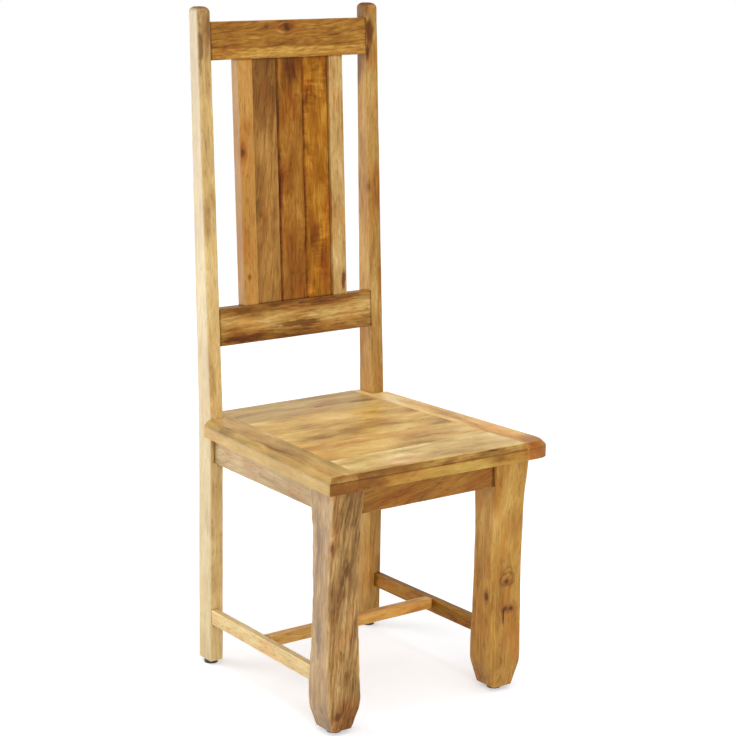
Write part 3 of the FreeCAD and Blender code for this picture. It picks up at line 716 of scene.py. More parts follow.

# %% [markdown]
# The left leg is streaked brown and grey, with pale worn arrises and painted sheen on its left face. The
# right
# one is golden and knotty: a knot in a swirl at the waist, two more below it, and one on its left face.

# %% Wood of the legs
left_leg = mango(
    "mango wood, streaked left leg", seed=8.0, shades=("#66461c", "#946e3a", "#b48c52", "#d4b07a"), sway=16.0,
    tilt=-6.0, figure=1.15, figure_size=(4.5, 75), relief=0.8, patch=0.9, ring_depth=0.12, rub="#7c6644",
    shine=0.2, grey=("#b89c80", 20, 110, 0.54, 0.6), warm=("#eebe84", 26, 90, 0.55, 0.4),
    # Painted sheen: the left face gets a pale pinkish-grey tint.
    faces=((TO_LEFT, "#bca890", 0.36, "MIX"),),
    zones=(("Z", ((8.0, -0.1), (65.0, -0.06), (115.0, 0.0), (421.0, 0.0)), True),
           # Painted light: this zone makes the left face paler; just inside the left arris it is a little
           # darker.
           ("X", ((-204.0, 0.12), (-201.0, 0.12), (-196.0, -0.08), (-182.0, 0.0)), True)),
    marks=(lens(in_front(LEFT, -166.0, 280.0), 12.0, 2.4, "#94765a", 0.9),
           lens(in_front(LEFT, -175.0, 250.0), 10.0, 3.4, "#a88a68", 0.8),
           flash(in_front(LEFT, -171.0, 165.0), 6.0, 7.0, "#4a3a1c", 0.9),
           knot(in_front(LEFT, -196.0, 322.0), 3.0, 2.2, 0.6),
           knot(on_left(LEFT, -185.0, 43.7), 4.0),
           lens(in_front(LEFT, -182.0, 35.0), 8.0, 1.6, "#8a6a48", 0.7),
           lens(on_left(LEFT, -176.0, 165.0), 9.0, 7.0, "#927068", 0.9),
           lens(on_left(LEFT, -168.0, 330.0), 8.0, 8.0, "#a0805c", 0.9),
           flash(on_left(LEFT, -192.0, 300.0), 6.0, 14.0, "#4a3c22", 0.9),
           lens(in_front(LEFT, -168.0, 34.0), 38.0, 1.1, "#f0c89c", 0.9)))
right_leg = mango(
    "mango wood, knotty right leg", seed=14.0, shades=("#82521c", "#ad7c31", "#c49443", "#deb668"), sway=14.0,
    tilt=-2.0, figure=0.5, figure_size=(4.0, 80), relief=0.5, ring_depth=0.1, shine=0.22,
    zones=(("Z", ((65.0, -0.1), (185.0, -0.06), (265.0, 0.06), (421.0, 0.08)), True),),
    marks=(knot(on_left(RIGHT, -187.5, 175.0), 6.0, 1.7),
           knot(in_front(RIGHT, 169.0, 195.0), 6.4, 0.7, 0.75),
           burl(in_front(RIGHT, 170.5, 200.0), 13.0, 0.9, 0.4),
           burl(in_front(RIGHT, 172.5, 214.0), 7.0, 1.5, 0.3),
           flash(in_front(RIGHT, 176.0, 165.0), 12.0, 1.2, "#2c2212", 0.7),
           knot(in_front(RIGHT, 180.5, 146.3), 5.0, 0.9),
           knot(in_front(RIGHT, 167.0, 149.0), 4.2, 0.9, 0.75),
           lens(in_front(RIGHT, 164.5, 134.0), 2.4, 8.0, "#5a3818", 0.9),
           flash(in_front(RIGHT, 163.0, 97.0), 20.0, 2.0, "#46351c", 0.8)))
stand_for("front_leg_left", leg_rings(LEFT, 21), four, left_leg, False)
stand_for("front_leg_right", leg_rings(RIGHT, 22), four, right_leg, False)
print("legs:", [piece.name for piece in made[-2:]])

# %% [markdown]
# ## Rails, slats and boards of the back
# Everything in the back lies in one leaning plane. It is easiest to lay the pieces out flat, as on a bench: x
# across, w into the depth and u up the lean, and then to tip the bench by the lean of the posts. The rails
# run into the posts and the slats and boards into the rails by a millimetre, as glued joints have no gap.

# %% Tip the bench
TUCK = 1.0
BAR_ARRIS, BAR_WANDER = 1.8, 0.35
RAIL_THICKNESS, RAIL_RINGS = 24.0, 40
TOP_RAIL_HIGH = BACK_LENGTH - 25.0
TOP_RAIL_LOW = TOP_RAIL_HIGH - 64.0
LOW_RAIL_LOW, LOW_RAIL_HIGH = 124.0, 189.0


def leaning(x, w, u):
    """Back's own frame to the chair: turn by the lean about the seat line, then move to the posts' face."""
    y = POST_FRONT + w * math.cos(LEAN) + u * math.sin(LEAN)
    z = SEAT_TOP - w * math.sin(LEAN) + u * math.cos(LEAN)
    return np.stack(np.broadcast_arrays(x, y, z), axis=-1)


def at_height(u):
    """Height over the floor of a place u up the lean, on the front face."""
    return SEAT_TOP + u * math.cos(LEAN)


def bar_outlines(along, thickness, low, high, seed):
    """Outlines of a bar at places along it: thickness by height, about the middle, with uneven arrises."""
    corners = oblong(np.full(along.size, thickness / 2), (high - low) / 2)
    return eased(corners, soft_edge(BAR_ARRIS, along, seed))


def rail_rings(low, high, seed):
    """One outline in depth and height, carried across from post to post."""
    half = POST_INNER + TUCK
    x = half * (2 * spaced(2 * half, RAIL_RINGS) - 1)
    outline = bar_outlines(x, RAIL_THICKNESS, low, high, seed)
    w = outline[..., 0] + RAIL_THICKNESS / 2
    u = outline[..., 1] + (low + high) / 2
    return planed(leaning(x[:, None], w, u), BAR_WANDER, seed)


crown_z = at_height(TOP_RAIL_LOW)
crown = ("Z", ((crown_z, 0.06), (crown_z + 4, 0.2), (crown_z + 16, 0.18), (crown_z + 20, -0.16),
               (crown_z + 28, 0.0), (at_height(TOP_RAIL_HIGH), -0.08)), True)
top_rail = mango(
    "mango wood, brown top rail", grain="X", seed=21.0, sway=8.0, tilt=4.0, figure=1.1, rings=9.0,
    ring_width=34.0, shades=("#5e380c", "#935f1d", "#aa772b", "#cc9e4a"), zones=(crown,), patch=0.6,
    figure_size=(3.2, 24), ring_depth=0.12, warm=("#f2c287", 28, 80, 0.55, 0.3), shine=0.2,
    marks=(knot((-8.7, 216.2, 1109.6), 6.0, 1.1, 0.95),))
foot_z, head_z = at_height(LOW_RAIL_LOW), at_height(LOW_RAIL_HIGH)
belt = ("Z", ((foot_z, -0.22), (foot_z + 12, -0.12), (foot_z + 24, 0.16), (foot_z + 30, 0.02),
              (foot_z + 34, 0.2), (foot_z + 46, 0.14), (head_z - 12, -0.08), (head_z - 6, -0.22),
              (head_z, -0.26)), True)
low_rail = mango(
    "mango wood, banded lower rail", grain="X", seed=26.0, sway=14.0, ring_depth=0.1, rings=9.0,
    shades=("#683d0e", "#926221", "#b68c46", "#d8b46c"), zones=(belt,), figure=0.8, figure_size=(3.6, 34),
    patch=0.9, shine=0.2,
    marks=(flash((-108.0, 187.0, 612.0), 13.0, 2.6, "#46371a", 0.8),
           lens((5.0, 186.0, 597.0), 9.0, 8.0, "#a07848", 0.9),
           lens((-110.0, 184.0, 581.0), 9.0, 6.0, "#946c40", 0.9),
           flash((120.0, 187.0, 600.0), 12.0, 3.0, "#322610", 0.8),
           flash((-48.0, 189.5, 630.0), 4.0, 5.0, "#5c4630", 0.9),
           *(lens((x, 190.0, 635.5), 3.0, 5.0, "#844a24", 0.9) for x in (-88.0, -30.0, 8.0, 34.0, 70.0))))
stand_for("top_rail", rail_rings(TOP_RAIL_LOW, TOP_RAIL_HIGH, 31), four, top_rail)
stand_for("lower_back_rail", rail_rings(LOW_RAIL_LOW, LOW_RAIL_HIGH, 32), four, low_rail)
print("rails from", round(foot_z), "to", round(head_z), "and from", round(crown_z), "up")

# %% [markdown]
# The two slats stand proud of the three boards between them, and each board has its front edges taken off at
# 45 degrees, so that two neighbours make a V. Those V lines are the strongest drawing on the back.

# %% Slats and boards
BOARD_FRONT, BOARD_BACK, BOARD_V = 5.0, 18.0, 3.0
SLAT_OUTER, SLAT_INNER, SLAT_THICKNESS = POST_INNER - 51.5, POST_INNER - 80.5, 22.0
CENTRE_HALF = 26.5
BACK_RINGS = 50
# Easing of the corners and wander of the faces, in millimetres.
SLAT_HAND, BOARD_HAND = (1.6, 0.25), (0.5, 0.04)


def up_the_back(corners, radius, wander, seed):
    """An outline in width and depth, carried up the lean from rail to rail, with wandering faces."""
    low, high = LOW_RAIL_HIGH - TUCK, TOP_RAIL_LOW + TUCK
    u = low + (high - low) * spaced(high - low, BACK_RINGS)
    outline = eased(np.broadcast_to(corners, (u.size,) + np.shape(corners)), radius)
    return planed(leaning(outline[..., 0], outline[..., 1], u[:, None]), wander, seed)


def slat_corners(side):
    """A plain oblong slat, flush with the rails in front."""
    middle = side * (SLAT_OUTER + SLAT_INNER) / 2
    return oblong((SLAT_OUTER - SLAT_INNER) / 2, SLAT_THICKNESS / 2) + (middle, SLAT_THICKNESS / 2)


def board_corners(left, right):
    """A board with its two front edges taken off at 45 degrees."""
    v = BOARD_V
    return np.array(((right, BOARD_FRONT + v), (right, BOARD_BACK), (left, BOARD_BACK),
                     (left, BOARD_FRONT + v), (left + v, BOARD_FRONT), (right - v, BOARD_FRONT)))


def painted_groove_shade(left, right, depth_left, depth_right):
    """Zone across a board that darkens its two V edges with painted shade in the grooves."""
    return ("X", ((left, -depth_left), (left + 2.2, -0.7 * depth_left), (left + 4.0, 0.0), (right - 4.0, 0.0),
                  (right - 2.2, -0.7 * depth_right), (right, -depth_right)), False)


six = arris_weights(6)
print("board outline has", six.size, "points")

# %% [markdown]
# The five pieces of the panel were picked for contrast: an orange slat on the left and a pale one on the
# right, then a grey-brown board, a dark one, and a golden one with cross ripple and pale flashes.

# %% Wood of the slats and boards
slat_looks = {
    "left": dict(
        seed=33.0, shades=("#905a24", "#b6803b", "#c49048", "#d7a763"), tilt=-1.5, sway=8.0, figure=0.4,
        ring_depth=0.1, grey=("#c8aa82", 20, 150, 0.66, 0.4), shine=0.15,
        # Painted shade: the left face, in the post's shade, gets a darker tint.
        faces=((TO_LEFT, "#a07e52", 0.55, "MIX"),),
        marks=(knot((-105.0, 203.8, 902.0), 5.0, 2.4, 0.7), knot((-98.0, 191.0, 689.0), 2.8, 1.4, 0.5))),
    "right": dict(
        seed=37.0, shades=("#946b33", "#bb9453", "#cfa966", "#e5c58c"), tilt=2.0, sway=10.0, patch=1.1,
        figure=0.9, marks=(lens((102.0, 190.0, 665.0), 6.0, 5.0, "#93643a", 0.95),))}
board_looks = {
    "left": dict(
        seed=41.0, shades=("#66421a", "#94672d", "#ae7d3c", "#cc9c56"), tilt=-6.0, ring_depth=0.14,
        figure=0.8, figure_size=(3.6, 50), patch=0.5, grey=("#c4b09a", 26, 160, 0.49, 0.6),
        warm=("#eeb674", 28, 120, 0.58, 0.4),
        marks=(lens((-58.0, 214.0, 1010.0), 40.0, 3.0, "#c0aa92", 0.7),
               flash((-68.0, 203.0, 880.0), 5.0, 12.0, "#3c3418", 0.8))),
    "centre": dict(
        seed=46.0, shades=("#603406", "#8c5514", "#a26b22", "#c28a3c"), ripple=0.5, tilt=-4.0, sway=18.0,
        ring_depth=0.18, rings=12.0, figure=0.5, patch=0.9, grey=("#c09a74", 24, 140, 0.57, 0.5),
        marks=(flash((7.0, 202.0, 791.0), 11.0, 1.6, "#46351c", 0.7),
               lens((-22.0, 203.0, 850.0), 6.0, 30.0, "#d8a488", 0.8),
               lens((0.0, 216.0, 1045.0), 24.0, 2.0, "#b09478", 0.7))),
    "right": dict(
        seed=52.0, shades=("#603200", "#925808", "#ae701a", "#d6a03c"), ripple=0.9, patch=1.0, sway=18.0,
        ring_depth=0.14, figure=0.5, grey=("#c0945c", 24, 120, 0.6, 0.5), warm=("#f4bc72", 28, 80, 0.5, 0.5),
        marks=(flash((60.0, 216.0, 1018.0), 12.0, 2.6, "#66521e", 0.9),
               flash((59.0, 209.0, 910.0), 15.0, 1.2, "#4c3a14", 0.8),
               flash((59.0, 204.0, 819.0), 18.0, 1.6, "#6a541e", 0.9),
               flash((62.0, 190.0, 670.0), 16.0, 2.0, "#3c2e10", 0.8),
               lens((34.0, 214.0, 984.0), 6.0, 6.0, "#b07a40", 0.8),
               lens((44.7, 199.0, 748.0), 13.0, 2.2, "#b88448", 0.7)))}
for side, sign in SIDES.items():
    finish = mango("mango wood, %s slat" % side, **slat_looks[side])
    rings = up_the_back(slat_corners(sign), *SLAT_HAND, 33 + sign)
    stand_for("back_slat_" + side, rings, four, finish)
# Each board's left and right edge, and how dark the painted shade in the groove is there.
board_edges = {"left": (-SLAT_INNER, -CENTRE_HALF, 0.15, 0.4),
               "centre": (-CENTRE_HALF, CENTRE_HALF, 0.4, 0.2),
               "right": (CENTRE_HALF, SLAT_INNER, 0.2, 0.25)}
for name, edges in board_edges.items():
    # Painted shade in the V grooves darkens both edges of every board.
    finish = mango("mango wood, %s board" % name, zones=(painted_groove_shade(*edges),), shine=0.15, **board_looks[name])
    rings = up_the_back(board_corners(*edges[:2]), *BOARD_HAND, 36)
    stand_for("back_board_" + name, rings, six, finish)
print("back pieces:", [piece.name for piece in made[-5:]])

# %% [markdown]
# ## Aprons and stretchers
# These bars are plain oblongs between the legs and posts, but the side ones run outwards a little to the
# front and end on a leg that is not flat. So each point of a bar's outline looks up where the leg's face is
# at its own height and stops just inside it.

# %% Side bars from post to leg
SIDE_RUN, SIDE_RINGS, LEG_TUCK = 330.0, 36, 1.6
APRON = (SEAT_UNDER - 50.0, SEAT_UNDER)
STRETCHER = heights_of("side_stretcher_left")
# Distance of a side bar from the chair's middle, at the post and at the leg.
APRON_X, STRETCHER_X = (170.0, 178.5), (178.5, 184.5)
APRON_THICK, STRETCHER_THICK = 18.0, 13.0


def bar_x(ends, y):
    """Distance of a side bar from the chair's middle at y: a straight line from the post to the leg."""
    rear_x, front_x = ends
    return rear_x + (front_x - rear_x) * (POST_FRONT - y) / (POST_FRONT - LEG_Y)


def side_rings(heights, ends, thickness, side, seed):
    """Outline in x and height, carried forward from the post's face to the leg's rear face at each height."""
    shares = spaced(SIDE_RUN, SIDE_RINGS)
    outline = bar_outlines(shares * SIDE_RUN, thickness, *heights, seed)
    z = outline[..., 1] + sum(heights) / 2
    start, stop = POST_FRONT + TUCK, LEG_Y + leg_half(z, LEG_DEPTHS, side) - LEG_TUCK
    y = start + (stop - start) * shares[:, None]
    x = side * bar_x(ends, y) + outline[..., 0]
    return planed(np.stack((x, y, z), axis=-1), BAR_WANDER, seed)


side_bars = {"apron": (APRON, APRON_X, APRON_THICK), "stretcher": (STRETCHER, STRETCHER_X, STRETCHER_THICK)}
side_looks = {
    # The left apron's joint lines are very dark: dark joints, with painted shade in the gaps at the post and
    # the leg.
    "apron_left": dict(seed=61.0, shades=("#8c6832", "#ab8b56", "#bc9e66", "#d6bc88"), shine=0.5, figure=0.4,
                       patch=0.5, seam="#3a2408"),
    "apron_right": dict(seed=64.0, shades=("#8a6030", "#a87e44", "#bb9256", "#d2ae72")),
    "stretcher_left": dict(seed=67.0, shades=("#b4884e", "#d1b071", "#e1c584", "#f0dbaa"), shine=0.5,
                           figure=0.4, grey=("#d8c09a", 22, 110, 0.6, 0.4)),
    "stretcher_right": dict(seed=71.0, shades=("#663c06", "#8c5c12", "#a0701e", "#bc8e34"), shine=0.15)}
for name, look in side_looks.items():
    kind, side = name.split("_")
    finish = mango("mango wood, side %s %s" % (kind, side), grain="Y", **look)
    rings = side_rings(*side_bars[kind], SIDES[side], int(look["seed"]))
    stand_for("side_" + name, rings, four, finish)
print("side bars:", [piece.name for piece in made[-4:]])

# %% [markdown]
# Three more bars run from side to side: the front apron between the legs, the rear apron between the posts
# and the cross stretcher that makes the H. They differ only in what they end on, so a small function for each
# says where a point of the outline has to stop.

# %% Cross bars from side to side
CROSS_RUN, CROSS_RINGS = 300.0, 40


def cross_rings(middle, thickness, heights, stops, seed):
    """Outline in depth and height, carried from side to side; stops gives each point's left and right end."""
    shares = spaced(CROSS_RUN, CROSS_RINGS)
    outline = bar_outlines(shares * CROSS_RUN, thickness, *heights, seed)
    y = outline[..., 0] + middle
    z = outline[..., 1] + sum(heights) / 2
    left, right = stops(y, z)
    return planed(np.stack((left + (right - left) * shares[:, None], y, z), axis=-1), BAR_WANDER, seed)


def to_leg(y, z):
    """Ends of the front apron: just inside the inner face of each leg."""
    left, right = (LEG_X - leg_half(z, LEG_WIDTHS, side) + LEG_TUCK for side in (LEFT, RIGHT))
    return -left, right


def to_post(y, z):
    """Ends of the rear apron: just inside the inner face of each post."""
    half = np.full_like(z, POST_INNER + TUCK)
    return -half, half


def to_stretcher(y, z):
    """Ends of the cross stretcher: just inside the inner face of each side stretcher."""
    half = bar_x(STRETCHER_X, y) - STRETCHER_THICK / 2 + TUCK
    return -half, half


# Each bar's thickness, its heights, what it ends on, and its slot.
cross_bars = {"front_apron": (20.0, APRON, to_leg, "apron_wood"),
              "rear_apron": (18.0, APRON, to_post, "apron_wood"),
              "cross_stretcher": (19.0, heights_of("cross_stretcher"), to_stretcher, "stretcher_wood")}
# Painted shade: the front apron gets a little darker towards the right leg and dark in the gap beside it.
painted_shade_by_right_leg = ("X", ((-140.0, 0.0), (50.0, 0.0), (110.0, -0.12), (129.5, -0.12), (132.0, -0.9), (140.0, -0.9)),
            False)
bar_looks = {
    "front_apron": dict(seed=75.0, shades=("#6c4014", "#986521", "#aa762d", "#c4944a"), sway=18.0, tilt=14.0,
                        zones=(painted_shade_by_right_leg,), shine=0.2),
    "rear_apron": dict(seed=78.0, shades=("#8a6030", "#a87e44", "#bb9256", "#d2ae72")),
    # Painted light: the cross stretcher's shades are paler than its wood, to make up for the seat's shadow
    # over it.
    "cross_stretcher": dict(seed=83.0, shades=("#ae7c30", "#dca650", "#eebd64", "#f8d488"))}
for seed, (node, (thickness, heights, stops, slot)) in enumerate(cross_bars.items(), start=81):
    finish = mango("mango wood, " + node.replace("_", " "), grain="X", **bar_looks[node])
    rings = cross_rings(middle_of(node)[1], thickness, heights, stops, seed)
    stand_for(node, rings, four, finish)
print("cross bars:", [piece.name for piece in made[-3:]])

# %% [markdown]
# ## The seat
# The seat is five cross boards held between two side boards, with a broad bevel along the left, front and
# right edge. Here the outline is the plan of a board, and it is carried upwards: side by side, each straight
# edge is drawn in by its own amount as the bevel rises, while the joints open only by a hair. Years of use
# have worn the lines of the bevel, so a slow wave lowers them by up to two millimetres.

# %% Seat boards: a plan carried upwards
BEVEL, JOINT = 8.0, 0.03
# Each level of a board: height over its underside, share of the bevel, and share of the wear.
RISE = np.array(((0.0, 0.6, 0.0), (0.7, 0.0, 0.0), (19.4, 0.0, 0.0), (21.3, 0.04, 0.6), (22.3, 0.15, 1.0),
                 (27.9, 0.86, 0.7), (28.6, 0.95, 0.4), (29.0, 1.07, 0.0)))
WEAR, WEAR_WAVES, WEAR_SEED = 1.9, (131.0, 73.0, 47.0, 31.0), 90
LEAST_ROUND = 1.2
SEAT_CORNER_STEPS, SEAT_RUN_STEPS = 7, 48


def drawn_in(corners, inset):
    """Outline with each side moved inwards by its own inset: a new corner is where two moved sides cross."""
    side = np.roll(corners, -1, axis=0) - corners
    side = side / np.linalg.norm(side, axis=1, keepdims=True)
    inward = np.stack((-side[:, 1], side[:, 0]), axis=-1)
    lines = np.stack((np.roll(inward, 1, axis=0), inward), axis=1)
    moves = np.stack((np.roll(inset, 1), inset), axis=-1)[..., None]
    return corners + np.linalg.solve(lines, moves)[..., 0]


def board_rings(corners, bevel, radius):
    """The plan at each level of the rise, drawn in by the bevel's share, its corners eased less as they rise.

    Wear lowers the bevel's lines by WEAR (1 + wave) / 2, one wave over the whole seat, so it runs on from
    board to board. On a joint it only slides the points down the wall.
    """
    corners, bevel, radius = (np.array(a, float) for a in (corners, bevel, radius))
    height, share, rubbed = RISE.T[..., None]
    plans = np.stack([drawn_in(corners, bevel * part) for part in share[:, 0]])
    round_off = np.maximum(radius - share * BEVEL * (radius > LEAST_ROUND), np.minimum(radius, LEAST_ROUND))
    outline = eased(plans, round_off, SEAT_CORNER_STEPS, SEAT_RUN_STEPS)
    wave = waves(outline[..., 0] - outline[..., 1], 0.0, WEAR_WAVES, np.random.default_rng(WEAR_SEED))
    z = SEAT_UNDER + height - WEAR * rubbed * (1 + wave) / 2
    return np.concatenate((outline, z[..., None]), axis=-1)


print("levels of a seat board in mm:", RISE[:, 0])

# %% [markdown]
# The seat flares from the posts to the front, and its front edge was sawn a little askew. Both are straight
# lines, so the corners of every board follow from where two lines cross.

# %% Lines of the seat's plan
SEAT_FRONT_HALF, SEAT_REAR_HALF, SIDE_BOARD = 225.0, 199.5, 55.0
SEAT_DEPTH, FRONT_SKEW = 409.0, 12.0
SEAT_REAR = POST_FRONT + POST_DEPTH
FLARE = (SEAT_FRONT_HALF - SEAT_REAR_HALF) / SEAT_DEPTH


def seat_half(y):
    """Half the seat's width at y: it flares evenly from the posts to the front edge."""
    return SEAT_REAR_HALF + FLARE * (POST_FRONT - y)


def front_end(side, inset):
    """Where a line along the seat, inset from its side edge, meets the front edge, which runs a little askew.

    The line is x = side (half - inset) and the edge is y = left end - skew (x + half in front), both
    straight, so y follows from one equation.
    """
    skew = FRONT_SKEW / (2 * SEAT_FRONT_HALF + FLARE * FRONT_SKEW)
    start = side * (seat_half(0.0) - inset) + SEAT_FRONT_HALF
    y = (POST_FRONT - SEAT_DEPTH - skew * start) / (1 - side * skew * FLARE)
    return side * (seat_half(y) - inset), y


print("front corners of the seat:", np.round(front_end(LEFT, 0.0), 1), np.round(front_end(RIGHT, 0.0), 1))

# %% [markdown]
# A side board runs front to back and is notched round its post. In front, the right corner of the seat is
# well rounded and the left one nearly sharp. The left board is the browner one, a dark line runs under its
# bevel, and its left face gets a tint of painted light.

# %% Side boards, notched round the posts
GAP = 0.3
NOTCH_BEVEL, REAR_BEVEL = 0.5, 1.0
NOTCH_ROUND, JOINT_ROUND = 0.8, 0.1
CORNER_ROUND = {LEFT: 3.6, RIGHT: 34.0}


def side_plan(side):
    """Plan of a side board, anticlockwise, with the insets of its edges and the easing of its corners."""
    notch, inner = POST_FRONT - GAP, POST_INNER - GAP
    plan = np.array(((side * seat_half(notch), notch), (side * inner, notch), (side * inner, SEAT_REAR),
                     (side * (seat_half(SEAT_REAR) - SIDE_BOARD), SEAT_REAR),
                     front_end(side, SIDE_BOARD), front_end(side, 0.0)))
    bevel = np.array((NOTCH_BEVEL, NOTCH_BEVEL, REAR_BEVEL, JOINT, BEVEL, BEVEL))
    radius = np.array((NOTCH_ROUND, NOTCH_ROUND, NOTCH_ROUND, JOINT_ROUND, JOINT_ROUND, CORNER_ROUND[side]))
    if side == RIGHT:
        return plan, bevel, radius
    return plan[::-1], np.roll(bevel[::-1], -1), radius[::-1]


def edged(lower, line, bevel):
    """Zones up a seat edge: a lower band, a dark line under the bevel, the bevel; the top has no shift."""
    return ("Z", ((SEAT_UNDER, lower), (SEAT_TOP - 12, lower), (SEAT_TOP - 9.5, line),
                  (SEAT_TOP - 7.5, bevel), (SEAT_TOP - 1.5, bevel), (SEAT_TOP - 0.3, 0.0)), False)


calm = dict(
    tilt_axis="Z", sway=20.0, figure=0.42, figure_size=(4.0, 50), ring_depth=0.05, pores=0.25, patch=1.5,
    patch_size=(42, 110), shine=0.22, grey=("#ccb286", 50, 170, 0.54, 0.55),
    warm=("#f2c68e", 46, 150, 0.53, 0.5))
seat_sides = {
    "left": dict(
        seed=91.0, shades=("#90703c", "#b8944e", "#cba55e", "#e2c286"), tilt=2.0, end="#b48e58",
        # Painted light: the left face gets a golden tint for how it is lit.
        faces=((TO_LEFT, "#c09e58", 0.4, "MIX"),), zones=(edged(0.05, -0.3, -0.1),),
        marks=(lens((-203.0, 112.0, 449.0), 22.0, 2.0, "#a48a62", 0.85),
               lens((-196.0, -40.0, 450.0), 7.0, 9.0, "#b89a68", 0.7))),
    "right": dict(
        seed=94.0, shades=("#b08646", "#e4ba6c", "#f4ce86", "#fce4ac"), end="#e6d8b0",
        zones=(edged(-0.05, -0.18, -0.14),),
        marks=(lens((212.0, -236.0, 446.0), 66.0, 1.0, "#b88e4c", 0.9),
               lens((189.0, -162.0, 450.0), 34.0, 3.0, "#f4dcb0", 0.6)))}
for side, sign in SIDES.items():
    finish = mango("mango wood, %s seat side" % side, grain="Y", **{**calm, **seat_sides[side]})
    rings = board_rings(*side_plan(sign))
    stand_for("seat_side_board_" + side, rings, np.zeros(rings.shape[1]), finish, False)
print("side boards:", [piece.name for piece in made[-2:]])

# %% [markdown]
# The five cross boards lie between them and get paler towards the front. Only the front one has the bevel;
# its edge is darker than its top, partly by painted shade on its front face, and carries the worn line.

# %% Cross boards
joints = [SEAT_REAR] + [span("seat_cross_board_%d" % number)[0][1] for number in range(1, 5)]
cross_looks = (
    dict(shades=("#907040", "#bf9f60", "#d2b070", "#e6c888"), grey=("#c4ac88", 30, 140, 0.5, 0.5), patch=0.9,
         figure=0.3,
         marks=(lens((20.0, 151.0, 450.0), 7.0, 2.2, "#8a6844", 0.8),
                lens((118.0, 146.0, 450.0), 10.0, 4.0, "#a88a68", 0.8))),
    dict(shades=("#986e2e", "#cea251", "#e2ba65", "#f4d38a"),
         marks=(lens((-67.0, 5.0, 450.0), 9.0, 6.0, "#b09a6c", 0.9),
                lens((40.0, 30.0, 450.0), 8.0, 6.0, "#c4ac80", 0.7))),
    dict(shades=("#986e2e", "#cea251", "#e2ba65", "#f4d38a"),
         marks=(lens((-100.0, -65.0, 450.0), 14.0, 3.2, "#b4905e", 0.95),
                lens((108.0, -44.0, 450.0), 2.6, 14.0, "#a8683a", 0.85),
                lens((67.0, -56.0, 450.0), 3.0, 5.0, "#985c32", 0.85))),
    dict(shades=("#9a702f", "#d0a453", "#e3bb67", "#f4d48e"),
         marks=(lens((-58.0, -76.0, 450.0), 14.0, 4.0, "#d8a464", 0.7),
                lens((60.0, -110.0, 450.0), 8.0, 8.0, "#c8b084", 0.7))),
    dict(shades=("#a68242", "#d7b66d", "#ebcf88", "#fde9ba"), zones=(edged(0.02, -0.5, -0.3),), figure=0.24,
         # Painted shade: the face that looks to the front gets a darker tint.
         patch=1.8, faces=((TO_FRONT, "#d9ca9c", 1.0, "MULTIPLY"),),
         marks=(flash((49.0, -174.0, 450.0), 22.0, 3.0, "#463a22", 0.8),
                lens((-170.0, -234.0, 436.0), 26.0, 2.4, "#b08850", 0.95),
                lens((20.0, -240.0, 446.0), 9.0, 12.0, "#b89c68", 0.8),
                lens((178.0, -238.0, 442.0), 20.0, 1.5, "#dcb078", 0.8),
                *(lens((x, -234.0, 448.5), 2.4, 5.0, "#a07c46", 0.8) for x in (46.0, 101.0, 110.0, 148.0)))))
for number, back in enumerate(joints, start=1):
    ends = [front_end(RIGHT, SIDE_BOARD), front_end(LEFT, SIDE_BOARD)]
    if number < len(joints):
        half, front = seat_half(joints[number]) - SIDE_BOARD, joints[number]
        ends = [(half, front), (-half, front)]
    half = seat_half(back) - SIDE_BOARD
    plan = (ends[0], (half, back), (-half, back), ends[1])
    last = BEVEL if number == len(joints) else JOINT
    rings = board_rings(plan, (JOINT, JOINT, JOINT, last), [JOINT_ROUND] * 4)
    finish = mango("mango wood, seat board %d" % number, grain="X", seed=97.0 + 4 * number,
                   **{**calm, **cross_looks[number - 1]})
    stand_for("seat_cross_board_%d" % number, rings, np.zeros(rings.shape[1]), finish, False)
print("seat boards at", [round(y) for y in joints])

# %% [markdown]
# ## What stays as it was packed
# Corner blocks, screws, glides and nails sit under the chair. Their solids already have the right shape, so
# they only get finishes: raw sawn wood without lacquer, black moulded plastic with a fine grain, and
# zinc-plated steel.

# %% Finishes for the solids that stay
def plain_finish(name, shades, grit, bump, settings):
    """A fine-grained material: noise of one grit size in millimetres mixes two shades and gives the bump."""
    finish = bpy.data.materials.new(name)
    tree = emptied(finish)
    place = add(tree, "TexCoord").outputs["Object"]
    grain = add(tree, "TexNoise", {"Vector": place, "Scale": 1 / (grit * MM), "Detail": 2.0})
    tones = {0: grain, 6: linear(shades[0]), 7: linear(shades[1])}
    colour = add(tree, "Mix", tones, data_type="RGBA").outputs[2]
    relief = add(tree, "Bump", {"Strength": 0.4, "Distance": bump * MM, "Height": grain})
    surface = add(tree, "BsdfPrincipled", {"Base Color": colour, "Normal": relief, **settings})
    add(tree, "OutputMaterial", {"Surface": surface})
    return finish


# Black polyethylene, moulded: dull, with a fine sparked grain.
glide = plain_finish("moulded black polyethylene", ("#222222", "#343332"), 0.6, 0.1, {"Roughness": 0.5})
# Zinc-plated steel: a bluish silver with faint clouds.
zinc = plain_finish("zinc plated steel", ("#9aa0a4", "#c2c6c8"), 2.0, 0.02,
                    {"Metallic": 1.0, "Roughness": 0.32})
# Sawn mango without lacquer: paler, dry and rough.
sawn = mango("sawn mango wood, bare", grain="X", seed=130.0,
             shades=("#8f6c42", "#b4905f", "#c6a477", "#d8bd93"))


def kept_finish(node):
    """Finish of a solid that stays as it was packed, and None where a skin stands for the solid."""
    if "screws" in node or "nails" in node:
        return zinc
    if node.startswith("glide_"):
        return glide
    return sawn if node.startswith("corner_block") else None


for node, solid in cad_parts.items():
    finish = kept_finish(node)
    if finish:
        for held in solid.material_slots:
            held.material = finish
print("solids kept:", len(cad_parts) - len(made))

# %% [markdown]
# ## Floor, light and camera
# The photograph is a plain studio cut-out on white. A white floor keeps a soft contact shadow, and the camera
# sees a little extra white on it, more of it far from the chair, so that floor and room meet without an edge.

